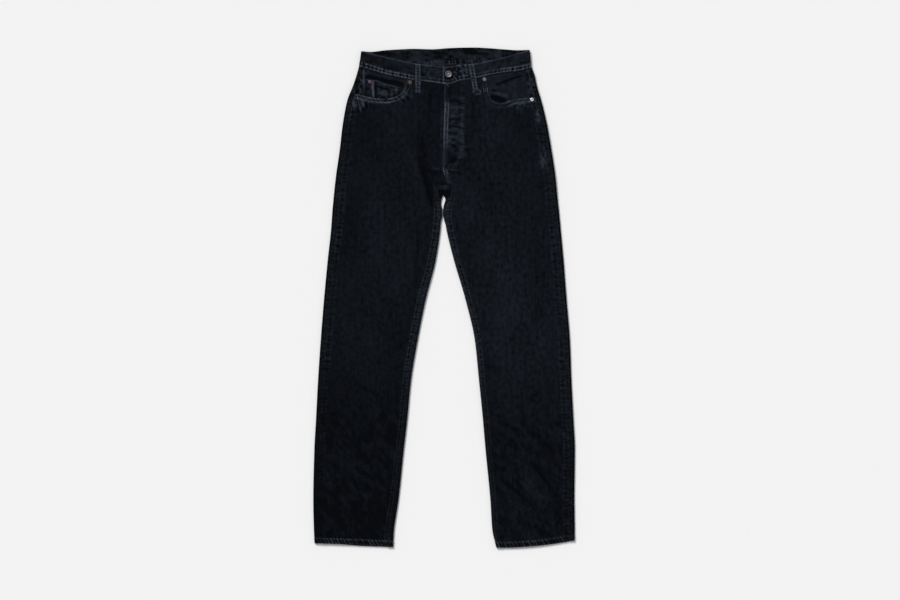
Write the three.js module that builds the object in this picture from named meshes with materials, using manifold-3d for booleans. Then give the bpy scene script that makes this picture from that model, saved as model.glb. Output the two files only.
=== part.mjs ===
// Straight leg jeans with five pockets and a buttoned fly, laid on their back on a flat surface.
// Millimetres. +Z is up, +Y points to the waist and +X to the wearer's left, so the front of the
// garment is seen from above. The origin is at the middle of the laid garment, on the surface.
// Each cut piece of denim is a wall with its own outline, 0.3 mm from what it is sewn to.
import * as THREE from 'three';
import { mergeVertices } from 'three/addons/utils/BufferGeometryUtils.js';
import Module from 'manifold-3d';

const wasm = await Module();
wasm.setup();

// Cloth
const WALL = 1.2; // one layer of denim
const SEAM_GAP = 0.3; // between pieces that are sewn together, or lie on each other
const BAND_SEAM_GAP = 0.45; // below the waistband's curved edge
const LAID_HEIGHT = 5.6; // over both layers of a leg
const EDGE_RADIUS = 3; // of the rolled side edges, seen from the hem
const INNER_RADIUS = 0.8; // the least, inside the roll of the hem
const SEAT_LIFT = 1.6; // the seat lies this high on the back pockets and the back belt loops
const SEAT_LIFT_START = 212;
const SEAT_LIFT_END = 262;

// Hem: turned up once and stitched
const HEM_HEIGHT = 13;
const HEM_OUTWARD = 0.5;
const HEM_INWARD = 0.6;
const HEM_NOMINAL = -570;
const HEM_STEP = 0.6; // between the leg's last thin row and the hem's top edge
const HEM_SLOPE_START = -400; // from here down, rows tilt to the hem's line

// Waistband: two layers and the seam allowances between them
const BAND_WALL = 2.2;
const BAND_SIDE_Y = 530; // its lower edge at the sides
const BAND_PROUD = 0.9; // above the front panels
const BAND_END = -3.5; // the buttonhole end, just past the fly's edge
const UNDERLAP_END = 38; // the button end, below it
const OVERLAP_RISE = BAND_WALL + SEAM_GAP;
const OVERLAP_RAMP = { from: 40, to: 54 };

// Fly
const FLY_EDGE_RISE = 0.45; // share of the full rise at the fly's edge
const FLY_RISE = 3; // the left front lies on the buttons of the fly
const FLY_WIDTH = 46;
const FLY_FADE = 10; // half the width of the slope beside the fly
const FLY_EDGE_SLOPE = 12;
const SHIELD_WIDTH = 42;
const SHIELD_UNDER = 2; // under the right front's edge
const FLY_BOTTOM = 312;
const FLY_BUTTON = { radius: 8.5, height: 2.4, x: 22, yFirst: 470, pitch: 33, count: 4 };

const WAIST_BUTTON = { x: 10.3, y: 513.2, radius: 8.5, shank: 2.2, height: 3.4 };
const BUTTONHOLE = { from: 6.5, to: 29, width: 5.6 };
const RIVET = { radius: 4.6, height: 1.3, nipple: 1.5 };

const LOOP_WIDTH = 13;
const LOOP_WALL = 1.6;
const BACK_PIECE_WALL = SEAT_LIFT - SEAM_GAP;
const FACING_DROP = WALL + SEAM_GAP; // the facing lies below the front panel
const FACING = { right: { innerX: -66, bottomY: 440 }, left: { innerX: 84, bottomY: 428 } };
const FACING_TILT = 11; // its lower edge is this much higher at the side
const COIN_WALL = 1;

// The crotch: the front seam ends in a short level line, and the backs roll up below it
const CROTCH_Y = 262;
const NOTCH_Y = 261.5;
const ROLLED_Y = 261.2;
const UNROLLED_Y = 262.4;

// Edges of the laid garment: one row for each height, x of each leg's edges.
const OUTLINE = [
  { y: 530, rightOuter: -196, rightInner: -2.7, leftInner: -2.3, leftOuter: 201 },
  { y: 512, rightOuter: -201, rightInner: -2.7, leftInner: -2.3, leftOuter: 207.7 },
  { y: 489, rightOuter: -208.6, rightInner: -2.7, leftInner: -2.3, leftOuter: 212.5 },
  { y: 455, rightOuter: -222, rightInner: -2.7, leftInner: -2.3, leftOuter: 222.6 },
  { y: 420, rightOuter: -229.5, rightInner: -2.7, leftInner: -2.3, leftOuter: 231.6 },
  { y: 386, rightOuter: -234.6, rightInner: -2.7, leftInner: -2.3, leftOuter: 238.7 },
  { y: 340, rightOuter: -239.9, rightInner: -2.7, leftInner: -2.3, leftOuter: 246.6 },
  { y: 282, rightOuter: -248.2, rightInner: -2.7, leftInner: -2.3, leftOuter: 255.3 },
  { y: 238, rightOuter: -253.2, rightInner: -2.7, leftInner: -2.3, leftOuter: 259.8 },
  { y: 225, rightOuter: -254.4, rightInner: -6, leftInner: 1.8, leftOuter: 261.2 },
  { y: 202, rightOuter: -256.6, rightInner: -4.5, leftInner: -3.7, leftOuter: 263.7 },
  { y: 156, rightOuter: -260, rightInner: -7.8, leftInner: 4.6, leftOuter: 268 },
  { y: 87, rightOuter: -267.5, rightInner: -19.1, leftInner: 22.3, leftOuter: 274.4 },
  { y: -5, rightOuter: -276.2, rightInner: -42.3, leftInner: 49.2, leftOuter: 281.5 },
  { y: -97, rightOuter: -283.6, rightInner: -60.7, leftInner: 70.4, leftOuter: 289 },
  { y: -189, rightOuter: -289.8, rightInner: -75.9, leftInner: 80, leftOuter: 292.6 },
  { y: -281, rightOuter: -294.6, rightInner: -84.9, leftInner: 89.2, leftOuter: 297.2 },
  { y: -350, rightOuter: -298.4, rightInner: -92.8, leftInner: 95.2, leftOuter: 300.5 },
  { y: -465, rightOuter: -300.8, rightInner: -104.9, leftInner: 106.3, leftOuter: 299.4 },
  { y: -534, rightOuter: -299.4, rightInner: -115, leftInner: 110.8, leftOuter: 300.2 },
  { y: -575, rightOuter: -296.6, rightInner: -117.6, leftInner: 120.5, leftOuter: 298.8 },
];

// How far each seam has turned from the edge onto the front.
const SEAMS = [
  { y: 530, rightOut: 10, leftOut: 8 },
  { y: 480, rightOut: 11.5, leftOut: 11 },
  { y: 420, rightOut: 12.5, leftOut: 13 },
  { y: 340, rightOut: 13, leftOut: 14 },
  { y: 260, rightIn: 19.3, leftIn: 22.3 },
  { y: 250, rightIn: 16.3, leftIn: 20.3 },
  { y: 238, rightIn: 12.5, leftIn: 18.3 },
  { y: 225, rightIn: 10, leftIn: 12 },
  { y: 202, rightIn: 9, leftIn: 10.7 },
  { y: 156, rightOut: 13, rightIn: 8, leftIn: 6, leftOut: 14 },
  { y: -5, rightOut: 13, rightIn: 10, leftIn: 5, leftOut: 14 },
  { y: -281, rightOut: 11, rightIn: 9, leftIn: 4.5, leftOut: 13 },
  { y: -465, rightOut: 11, rightIn: 11, leftIn: 4.5, leftOut: 13 },
  { y: -575, rightOut: 11, rightIn: 13, leftIn: 4.5, leftOut: 13 },
];

// Waistband edges from the wearer's right fold to the left one.
const WAIST = [
  { x: -196, frontTop: 567.5, frontBottom: 531, backTop: 567.5, backBottom: 531 },
  { x: -170, frontTop: 561.5, frontBottom: 523.5, backTop: 565, backBottom: 529 },
  { x: -134, frontTop: 553, frontBottom: 512.5, backTop: 568.8, backBottom: 529.5 },
  { x: -101, frontTop: 545.5, frontBottom: 505.5, backTop: 570.8, backBottom: 530.5 },
  { x: -70, frontTop: 539, frontBottom: 499.5, backTop: 572, backBottom: 531 },
  { x: -28, frontTop: 533.7, frontBottom: 494.5, backTop: 571, backBottom: 531 },
  { x: 9, frontTop: 531.3, frontBottom: 489.5, backTop: 573.5, backBottom: 531.8 },
  { x: 34, frontTop: 534.8, frontBottom: 497, backTop: 574.6, backBottom: 533 },
  { x: 70, frontTop: 537.6, frontBottom: 503, backTop: 575, backBottom: 533.5 },
  { x: 98, frontTop: 543.5, frontBottom: 509.5, backTop: 573.8, backBottom: 533 },
  { x: 140, frontTop: 553, frontBottom: 517, backTop: 570.6, backBottom: 531 },
  { x: 171, frontTop: 562, frontBottom: 520.5, backTop: 568.8, backBottom: 529 },
  { x: 201, frontTop: 569.8, frontBottom: 528, backTop: 569.8, backBottom: 528 },
];
const BAND_FOLD = { right: { top: -190.6, bottom: -195.8 }, left: { top: 197, bottom: 201 } };

const FLY_BEND_Y = 300;
const FLY_LINE = [
  { y: 500, x: 0.8 },
  { y: 400, x: -1.4 },
  { y: FLY_BEND_Y, x: -3.4 },
  { y: 277, x: 4.2 },
  { y: CROTCH_Y, x: 8.2 },
];
const SEAT_SEAM = [
  { y: 540, x: 4 },
  { y: CROTCH_Y, x: -2.5 },
];
const YOKE_SIDE_Y = 467; // the yoke seam at the side, and at the seat seam
const YOKE_CENTRE_Y = 447;

// Mouth of each front pocket, from a point on the outseam to the waistband.
const POCKET_MOUTH = {
  right: [
    { y: 468.5 },
    { x: -191, y: 465.8 },
    { x: -170, y: 460.5 },
    { x: -150, y: 457.5 },
    { x: -130, y: 457.5 },
    { x: -114, y: 460.5 },
    { x: -101.5, y: 467 },
    { x: -93, y: 476.5 },
    { x: -87.5, y: 489 },
    { x: -84.5, y: 501.6 },
  ],
  left: [
    { y: 461 },
    { x: 192, y: 459 },
    { x: 173, y: 457.4 },
    { x: 156, y: 454.5 },
    { x: 143, y: 448.5 },
    { x: 131, y: 446 },
    { x: 118.5, y: 447.6 },
    { x: 108.5, y: 454.6 },
    { x: 103, y: 466 },
    { x: 99.5, y: 484 },
    { x: 97, y: 506.6 },
  ],
};
const COIN_POCKET = [
  { x: -179, y: 504 },
  { x: -101, y: 483.5 },
  { x: -99, y: 475 },
  { x: -104, y: 467.8 },
  { x: -114.5, y: 462.2 },
  { x: -130, y: 459.1 },
  { x: -150, y: 459.2 },
  { x: -170, y: 462.2 },
  { x: -181, y: 465.2 },
];

// The largest folds: a soft ridge, or a trough where the height is negative.
const FOLDS = [
  { fromX: -58, fromY: 380, toX: -17, toY: 200, width: 13, height: -1.5 },
  { fromX: -82, fromY: 350, toX: -38, toY: 190, width: 16, height: 0.8 },
  { fromX: -61, fromY: 170, toX: -64, toY: 15, width: 10, height: -1 },
  { fromX: 36, fromY: 300, toX: 62, toY: 160, width: 18, height: 0.7 },
  { fromX: 203, fromY: -368, toX: 252, toY: -450, width: 11, height: -1.3 },
  { fromX: 160, fromY: -410, toX: 196, toY: -490, width: 12, height: -1.2 },
  { fromX: 184, fromY: -380, toX: 226, toY: -470, width: 13, height: 0.9 },
  { fromX: 84, fromY: -158, toX: 140, toY: -172, width: 11, height: -1 },
  { fromX: -142, fromY: -262, toX: -116, toY: -330, width: 13, height: -1.1 },
  { fromX: -240, fromY: -470, toX: -150, toY: -452, width: 14, height: 0.8 },
];

const clamp01 = (t) => Math.min(1, Math.max(0, t));
const mix = (a, b, t) => a + (b - a) * t;
const smooth = (from, to, v) => {
  const t = clamp01((v - from) / (to - from));
  return t * t * (3 - 2 * t);
};
const steps = (count) => Array.from({ length: count + 1 }, (_, i) => i / count);

// A smooth curve through a table's rows, without overshoot: column against key.
function curve(rows, key, column) {
  const points = rows
    .filter((row) => row[column] !== undefined)
    .map((row) => [row[key], row[column]])
    .sort((a, b) => a[0] - b[0]);
  const last = points.length - 1;
  const rise = points.slice(1).map((p, i) => (p[1] - points[i][1]) / (p[0] - points[i][0]));
  const slope = points.map((_, i) => {
    if (i === 0 || i === last) return rise[i === 0 ? 0 : last - 1];
    const [a, b] = [rise[i - 1], rise[i]];
    return a * b <= 0 ? 0 : (2 * a * b) / (a + b);
  });
  return (value) => {
    let i = 0;
    while (i < last - 1 && value > points[i + 1][0]) i += 1;
    const width = points[i + 1][0] - points[i][0];
    const t = clamp01((value - points[i][0]) / width);
    const [t2, t3] = [t * t, t * t * t];
    return (
      (2 * t3 - 3 * t2 + 1) * points[i][1] +
      (t3 - 2 * t2 + t) * width * slope[i] +
      (3 * t2 - 2 * t3) * points[i + 1][1] +
      (t3 - t2) * width * slope[i + 1]
    );
  };
}

const waist = Object.fromEntries(
  ['frontTop', 'frontBottom', 'backTop', 'backBottom'].map((c) => [c, curve(WAIST, 'x', c)]),
);
const flyLine = curve(FLY_LINE, 'y', 'x');
const seatSeam = curve(SEAT_SEAM, 'y', 'x');

const SIDES = Object.fromEntries(
  ['right', 'left'].map((name) => [
    name,
    {
      out: name === 'right' ? -1 : 1, // from the middle of the garment to its outer edge
      outer: curve(OUTLINE, 'y', name + 'Outer'),
      inner: curve(OUTLINE, 'y', name + 'Inner'),
      outTurn: curve(SEAMS, 'y', name + 'Out'),
      inTurn: curve(SEAMS, 'y', name + 'In'),
      fold: BAND_FOLD[name],
    },
  ]),
);
const outseamX = (side, y) => side.outer(y) - side.out * (side.outTurn(y) + SEAM_GAP);
for (const [name, side] of Object.entries(SIDES)) {
  const points = POCKET_MOUTH[name].map((p) => new THREE.Vector2(p.x ?? outseamX(side, p.y), p.y));
  side.mouth = new THREE.SplineCurve(points);
}
// Height of the hem's lower edge, from the inner edge of the leg to the outer one.
const HEM_LINE = {
  right: (share) => mix(-571, -565, share),
  left: (share) => mix(-574.9, -558.6, share ** 2.2),
};

const baseZ = (y) => SEAT_LIFT * smooth(SEAT_LIFT_START, SEAT_LIFT_END, y);

function foldHeight(fold, x, y) {
  const [dx, dy] = [fold.toX - fold.fromX, fold.toY - fold.fromY];
  const length = Math.hypot(dx, dy);
  const along = ((x - fold.fromX) * dx + (y - fold.fromY) * dy) / length;
  const across = ((x - fold.fromX) * dy - (y - fold.fromY) * dx) / length;
  const ends = smooth(0, fold.width, along) * smooth(0, fold.width, length - along);
  return fold.height * ends * Math.exp(-((across / fold.width) ** 2) * 2);
}

// Outer surface of the upper layer.
const topZ = (x, y) => FOLDS.reduce((z, f) => z + foldHeight(f, x, y), baseZ(y) + LAID_HEIGHT);

// The left front is lifted by the buttons of the fly.
function flyRise(x, y) {
  const fromEdge = x - flyLine(y);
  const nearEdge = mix(FLY_EDGE_RISE, 1, smooth(0, FLY_EDGE_SLOPE, fromEdge));
  const across = nearEdge * (1 - smooth(FLY_WIDTH - FLY_FADE, FLY_WIDTH + FLY_FADE, fromEdge));
  return FLY_RISE * across * smooth(FLY_BOTTOM - 20, FLY_BOTTOM + 30, y);
}

// A closed wall from a grid of outer points and the matching inner ones.
function wallGeometry(outer, inner) {
  const rows = outer.length;
  const columns = outer[0].length;
  const positions = [...outer.flat(), ...inner.flat()].flat();
  const offset = rows * columns;
  const at = (i, j, layer) => layer * offset + i * columns + j;
  const index = [];
  const quad = (a, b, c, d) => index.push(a, b, c, a, c, d);
  for (let i = 0; i < rows - 1; i += 1) {
    for (let j = 0; j < columns - 1; j += 1) {
      quad(at(i, j, 0), at(i + 1, j, 0), at(i + 1, j + 1, 0), at(i, j + 1, 0));
      quad(at(i, j, 1), at(i, j + 1, 1), at(i + 1, j + 1, 1), at(i + 1, j, 1));
    }
    const j = columns - 1;
    quad(at(i, 0, 0), at(i, 0, 1), at(i + 1, 0, 1), at(i + 1, 0, 0));
    quad(at(i, j, 0), at(i + 1, j, 0), at(i + 1, j, 1), at(i, j, 1));
  }
  for (let j = 0; j < columns - 1; j += 1) {
    const i = rows - 1;
    quad(at(0, j, 0), at(0, j + 1, 0), at(0, j + 1, 1), at(0, j, 1));
    quad(at(i, j, 0), at(i, j, 1), at(i, j + 1, 1), at(i, j + 1, 0));
  }
  const geometry = new THREE.BufferGeometry();
  geometry.setAttribute('position', new THREE.Float32BufferAttribute(positions, 3));
  geometry.setIndex(index);
  return facingOut(geometry);
}

function signedVolume(geometry) {
  const p = geometry.getAttribute('position');
  const corners = [new THREE.Vector3(), new THREE.Vector3(), new THREE.Vector3()];
  let volume = 0;
  for (let i = 0; i < geometry.index.count; i += 3) {
    corners.forEach((c, k) => c.fromBufferAttribute(p, geometry.index.getX(i + k)));
    volume += corners[0].dot(corners[1].clone().cross(corners[2])) / 6;
  }
  return volume;
}

function facingOut(geometry) {
  if (signedVolume(geometry) < 0) {
    const index = Array.from(geometry.index.array);
    for (let i = 0; i < index.length; i += 3) [index[i + 1], index[i + 2]] = [index[i + 2], index[i + 1]];
    geometry.setIndex(index);
  }
  return geometry;
}

// Columns of a back piece: from its seam on the front, round the outer edge, under, and at the
// crotch side up again to the inseam.
const ROUND_STEPS = 5;
const BACK_COLUMNS = [
  ...steps(1).slice(0, 1).map((share) => ({ zone: 'outerTop', share })),
  ...steps(ROUND_STEPS).map((share) => ({ zone: 'outerRound', share })),
  ...steps(7).slice(1, -1).map((share) => ({ zone: 'under', share })),
  ...steps(ROUND_STEPS).map((share) => ({ zone: 'innerRound', share })),
  ...steps(1).slice(1).map((share) => ({ zone: 'innerTop', share })),
];
const ROUND_LENGTH = Math.PI * EDGE_RADIUS;

// One point of a back piece's outer face and of its inner face.
function backPoint(side, y, column, hem) {
  const { out } = side;
  const inward = WALL + hem * (HEM_OUTWARD + HEM_INWARD);
  const base = baseZ(y);
  const outerX = side.outer(y) + out * hem * HEM_OUTWARD;
  const innerX = side.inner(y) - out * hem * HEM_OUTWARD;
  const inTurn = side.inTurn(y);
  const rolled = y <= ROLLED_Y;
  const flat = (x) => [[x, base], [x, base + inward]];
  const top = (x) => {
    const z = topZ(x, y) + hem * HEM_OUTWARD;
    return [[x, z], [x, z - inward]];
  };
  const round = (centreX, direction, angle) => {
    const high = topZ(centreX, y) + hem * HEM_OUTWARD;
    const [middle, half] = [(high + base) / 2, (high - base) / 2];
    return [0, inward].map((depth) => [
      centreX + direction * Math.max(EDGE_RADIUS - depth, INNER_RADIUS) * Math.cos(angle),
      middle + (half - depth) * Math.sin(angle),
    ]);
  };
  const angle = Math.PI / 2 - Math.PI * column.share;
  const underEnd = rolled ? innerX + out * EDGE_RADIUS : seatEndX(side, y);
  const unrolled = (length) => flat(underEnd - out * length);
  switch (column.zone) {
    case 'outerTop':
      return top(mix(outerX - out * side.outTurn(y), outerX - out * EDGE_RADIUS, column.share));
    case 'outerRound':
      return round(outerX - out * EDGE_RADIUS, out, angle);
    case 'under':
      return flat(mix(outerX - out * EDGE_RADIUS, underEnd, column.share));
    case 'innerRound':
      if (!rolled) return unrolled(ROUND_LENGTH * column.share);
      return round(innerX + out * EDGE_RADIUS, -out, -angle);
    default:
      if (!rolled) return unrolled(unrolledLength(side, y));
      return top(mix(innerX + out * EDGE_RADIUS, innerX + out * inTurn, column.share));
  }
}

// Share of the way from the garment's outer edge to its middle, or to the leg's inner edge.
function acrossShare(side, column, y) {
  if (column.zone === 'outerTop' || column.zone === 'outerRound') return 0;
  if (column.zone === 'under') return column.share * (1 - EDGE_RADIUS / Math.abs(side.outer(y)));
  return 1;
}

function backGrid(side, rowsOfY) {
  const outer = [];
  const inner = [];
  for (const row of rowsOfY) {
    const points = BACK_COLUMNS.map((column) => {
      const y = row.y(column);
      return backPoint(side, y, column, row.hem).map(([x, z]) => [x, y, z]);
    });
    outer.push(points.map((p) => p[0]));
    inner.push(points.map((p) => p[1]));
  }
  return wallGeometry(outer, inner);
}

const yokeSeamY = (share) => mix(YOKE_SIDE_Y, YOKE_CENTRE_Y, share);

// Above the crotch the inner roll lies flat, and ends at the seat seam.
const unrolledLength = (side, y) => ROUND_LENGTH + side.inTurn(y) - EDGE_RADIUS;
const seatEndX = (side, y) => seatSeam(y) + side.out * (SEAM_GAP / 2 + unrolledLength(side, y));

function yokeTopY(side, column) {
  if (column.zone === 'outerRound') return waist.backBottom(side.outer(BAND_SIDE_Y)) - BAND_SEAM_GAP;
  const [[x]] = backPoint(side, BAND_SIDE_Y, column, 0);
  const bandEdge = column.zone === 'outerTop' ? waist.frontBottom : waist.backBottom;
  return bandEdge(x) - BAND_SEAM_GAP;
}

function yoke(side) {
  const bottomY = (column) => yokeSeamY(acrossShare(side, column, YOKE_SIDE_Y)) + SEAM_GAP / 2;
  const rows = steps(3).map((share) => ({
    hem: 0,
    y: (column) => mix(yokeTopY(side, column), bottomY(column), share),
  }));
  return backGrid(side, rows);
}

const LEG_ROWS = [
  440, 400, 355, 310, 285, UNROLLED_Y, ROLLED_Y, 248, 238, 225, 213, 200, 178, 150, 118, 80, 40, -5,
  -50, -97, -145, -189, -235, -281, -320, -360, -400, -440, -480, -515, -545,
];

function hemOffset(name, share, y) {
  return (HEM_LINE[name](share) - HEM_NOMINAL) * smooth(HEM_SLOPE_START, HEM_NOMINAL + HEM_HEIGHT, y);
}

function back(name) {
  const side = SIDES[name];
  // Rows near the yoke follow its seam, and rows near the hem its line.
  const seamOffset = (share, y) => (yokeSeamY(share) - YOKE_SIDE_Y) * smooth(330, 455, y);
  const rowAt = (nominal, hem) => ({
    hem,
    y: (column) => {
      const share = acrossShare(side, column, nominal);
      return nominal + seamOffset(share, nominal) + hemOffset(name, 1 - share, nominal);
    },
  });
  const top = {
    hem: 0,
    y: (column) => yokeSeamY(acrossShare(side, column, YOKE_SIDE_Y)) - SEAM_GAP / 2,
  };
  const hemTop = HEM_NOMINAL + HEM_HEIGHT;
  const rows = [top, ...LEG_ROWS.map((y) => rowAt(y, 0)), rowAt(hemTop + HEM_STEP, 0), rowAt(hemTop, 1)];
  return backGrid(side, [...rows, rowAt(HEM_NOMINAL, 1)]);
}

// Rows of a front panel between its pocket and the crotch: heights at the outseam, and at the fly
// line as a height or as a share of what lies above its bend.
const HIP_ROWS = [
  { outerY: 440, aboveBend: 2 / 3 },
  { outerY: 400, aboveBend: 1 / 3 },
  { outerY: 355, aboveBend: 0 },
  { outerY: 310, innerY: 288 },
  { outerY: 285, innerY: 276 },
  { outerY: CROTCH_Y, innerY: CROTCH_Y },
];

// Beside the pocket mouth the rows fan out: how many, and how low they go at the fly line.
const FAN = { right: { rows: 9, innerLow: 415 }, left: { rows: 11, innerLow: 378 } };
const FAN_SPREAD = 1.25;
const FAN_BEND = 3; // how soon the rows take up the curve of the waistband

// Outer and inner end of each row of a front panel.
function frontRows(name) {
  const side = SIDES[name];
  const { out } = side;
  const flySide = (out * SEAM_GAP) / 2;
  const { innerLow } = FAN[name];
  const fan = steps(FAN[name].rows)
    .reverse()
    .map((share) => {
      const p = side.mouth.getPoint(share);
      const innerY = mix(innerLow, waist.frontBottom(0) - BAND_SEAM_GAP, share ** FAN_SPREAD);
      const outerY = share === 1 ? waist.frontBottom(p.x) - BAND_SEAM_GAP : p.y;
      const inner = [flyLine(innerY) + flySide, innerY];
      return { outer: [p.x, outerY], inner, bend: share ** FAN_BEND, hem: 0 };
    });
  const outseam = (y) => outseamX(side, y);
  const inseam = (y) => side.inner(y) + out * (side.inTurn(y) + SEAM_GAP);
  const hipRows = HIP_ROWS.map(({ outerY, aboveBend, innerY }) => {
    const y = innerY ?? mix(FLY_BEND_Y, innerLow, aboveBend);
    return { outer: [outseam(outerY), outerY], inner: [flyLine(y) + flySide, y], bend: 0, hem: 0 };
  });
  const hemTop = HEM_NOMINAL + HEM_HEIGHT;
  const thinRows = [NOTCH_Y, ...LEG_ROWS.filter((y) => y < ROLLED_Y), hemTop + HEM_STEP];
  const legRow = (leg, hem) => ({ leg, hem, outseam, inseam });
  const hemRows = [legRow(hemTop, 1), legRow(HEM_NOMINAL, 1)];
  return [...fan, ...hipRows, ...thinRows.map((y) => legRow(y, 0)), ...hemRows];
}

// Columns of a front panel: some at set distances from the fly or inseam, where it folds, and the
// rest evenly spread to the outer edge.
const NEAR_COLUMNS = { right: [60, 44, 30, 15, 0], left: [54, 40, 25, 16.5, 8, 0] };
const FAR_COLUMNS = 6;

function frontShares(name, width) {
  const near = NEAR_COLUMNS[name].map((distance) => 1 - distance / width);
  return [...steps(FAR_COLUMNS).slice(0, -1).map((share) => share * near[0]), ...near];
}

function front(name) {
  const outer = [];
  const inner = [];
  for (const row of frontRows(name)) {
    const isLeg = row.leg !== undefined;
    const ends = isLeg ? [row.outseam(row.leg), row.inseam(row.leg)] : [row.outer[0], row.inner[0]];
    const points = frontShares(name, Math.abs(ends[1] - ends[0])).map((share) => {
      if (isLeg) {
        const y = row.leg + hemOffset(name, 1 - share, row.leg);
        return [mix(row.outseam(y), row.inseam(y), share), y];
      }
      const x = mix(row.outer[0], row.inner[0], share);
      const y = mix(row.outer[1], row.inner[1], share);
      const chord = mix(waist.frontBottom(row.outer[0]), waist.frontBottom(0), share);
      return [x, y + (waist.frontBottom(x) - chord) * row.bend];
    });
    const rise = (x, y) => (name === 'left' ? flyRise(x, y) : 0);
    const high = points.map(([x, y]) => topZ(x, y) + rise(x, y) + row.hem * HEM_OUTWARD);
    outer.push(points.map(([x, y], j) => [x, y, high[j]]));
    const inward = WALL + row.hem * (HEM_OUTWARD + HEM_INWARD);
    inner.push(points.map(([x, y], j) => [x, y, high[j] - inward]));
  }
  return wallGeometry(outer, inner);
}

// The hip piece behind a front pocket's mouth. It runs on under the front panel.
function facing(name) {
  const side = SIDES[name];
  const { innerX, bottomY } = FACING[name];
  const topY = (x) => waist.frontBottom(x) - BAND_SEAM_GAP;
  const rows = steps(5).map((share) =>
    steps(7).map((across) => {
      const sideY = mix(topY(outseamX(side, BAND_SIDE_Y)), bottomY + FACING_TILT, share);
      const x = mix(outseamX(side, sideY), innerX, across);
      return [x, mix(topY(x), bottomY + FACING_TILT * (1 - across), share)];
    }),
  );
  const high = (x, y) => topZ(x, y) - FACING_DROP;
  const outer = rows.map((row) => row.map(([x, y]) => [x, y, high(x, y)]));
  const inner = rows.map((row) => row.map(([x, y]) => [x, y, high(x, y) - WALL]));
  return wallGeometry(outer, inner);
}

const shapeOf = (points) => new THREE.Shape(points.map((p) => new THREE.Vector2(p.x, p.y)));

function plate(points, low, thickness) {
  const geometry = new THREE.ExtrudeGeometry(shapeOf(points), { depth: thickness, bevelEnabled: false });
  return geometry.translate(0, 0, low);
}

function coinPocket() {
  return plate(COIN_POCKET, topZ(-140, 480) - FACING_DROP + SEAM_GAP, COIN_WALL);
}

function flyShield() {
  const rows = steps(4).map((share) => {
    const y = mix(waist.frontBottom(WAIST_BUTTON.x) - BAND_SEAM_GAP, FLY_BOTTOM, share);
    return steps(3).map((across) => [flyLine(y) - SHIELD_UNDER + across * SHIELD_WIDTH, y]);
  });
  const high = (x, y) => topZ(x, y) - FACING_DROP;
  return wallGeometry(
    rows.map((row) => row.map(([x, y]) => [x, y, high(x, y)])),
    rows.map((row) => row.map(([x, y]) => [x, y, high(x, y) - WALL])),
  );
}

// A station of the waistband: its top and bottom edge in plan, its outer height and the
// direction of its outside.
function bandStations() {
  const level = baseZ(BAND_SIDE_Y) + LAID_HEIGHT + BAND_PROUD;
  const half = (level - SEAT_LIFT) / 2;
  const frontAt = (x, rise) => ({
    top: [x, waist.frontTop(x)],
    bottom: [x, waist.frontBottom(x)],
    z: level + rise,
    normal: [0, 1],
  });
  const backAt = (x) => ({
    top: [x, waist.backTop(x)],
    bottom: [x, waist.backBottom(x)],
    z: SEAT_LIFT,
    normal: [0, -1],
  });
  const fold = (side, fromFront) =>
    steps(6).map((share) => {
      const angle = (fromFront ? 1 : -1) * (Math.PI / 2 - Math.PI * share);
      const reach = half * (1 - Math.cos(angle));
      const edge = side === SIDES.right ? WAIST[0] : WAIST[WAIST.length - 1];
      return {
        top: [side.fold.top - side.out * reach, edge.frontTop],
        bottom: [side.fold.bottom - side.out * reach, edge.frontBottom],
        z: SEAT_LIFT + half + half * Math.sin(angle),
        normal: [side.out * Math.cos(angle), Math.sin(angle)],
      };
    });
  const rise = (x) => OVERLAP_RISE * (1 - smooth(OVERLAP_RAMP.from, OVERLAP_RAMP.to, x));
  const xs = [-175, -155, -134, -118, -101, -85, -70, -50, -28, -14];
  const overlapXs = [OVERLAP_RAMP.to, 47, OVERLAP_RAMP.from, 26, 17.5, 9];
  const leftXs = [...xs.map((x) => -x), ...overlapXs].sort((a, b) => b - a);
  const underlap = [UNDERLAP_END, 24, 9, BAND_END];
  const backXs = (side) =>
    BACK_COLUMNS.filter((c) => c.zone === 'under' || (c.zone === 'innerRound' && c.share % 1 === 0)).map(
      (c) => backPoint(side, BAND_SIDE_Y, c, 0)[0][0],
    );
  const across = [...backXs(SIDES.right), seatSeam(BAND_SIDE_Y), ...backXs(SIDES.left).reverse()];
  return [
    ...underlap.map((x) => frontAt(x, 0)),
    ...[...xs].reverse().map((x) => frontAt(x, 0)),
    ...fold(SIDES.right, true),
    ...across.map(backAt),
    ...fold(SIDES.left, false),
    ...leftXs.map((x) => frontAt(x, rise(x))),
    frontAt(BAND_END, rise(BAND_END)),
  ];
}

function toSolid(geometry) {
  const bare = geometry.index ? geometry.toNonIndexed() : geometry.clone();
  const positions = new THREE.BufferGeometry().setAttribute('position', bare.getAttribute('position'));
  const merged = mergeVertices(positions, 1e-4);
  return new wasm.Manifold(
    new wasm.Mesh({
      numProp: 3,
      vertProperties: new Float32Array(merged.getAttribute('position').array),
      triVerts: new Uint32Array(merged.index.array),
    }),
  );
}

function toGeometry(solid) {
  const mesh = solid.getMesh();
  const geometry = new THREE.BufferGeometry();
  geometry.setAttribute('position', new THREE.BufferAttribute(new Float32Array(mesh.vertProperties), 3));
  geometry.setIndex(new THREE.BufferAttribute(new Uint32Array(mesh.triVerts), 1));
  return geometry;
}

function stadium(from, to, y, width) {
  const radius = width / 2;
  const shape = new THREE.Shape();
  shape.absarc(to - radius, y, radius, -Math.PI / 2, Math.PI / 2, false);
  shape.absarc(from + radius, y, radius, Math.PI / 2, (3 * Math.PI) / 2, false);
  return shape;
}

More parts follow.
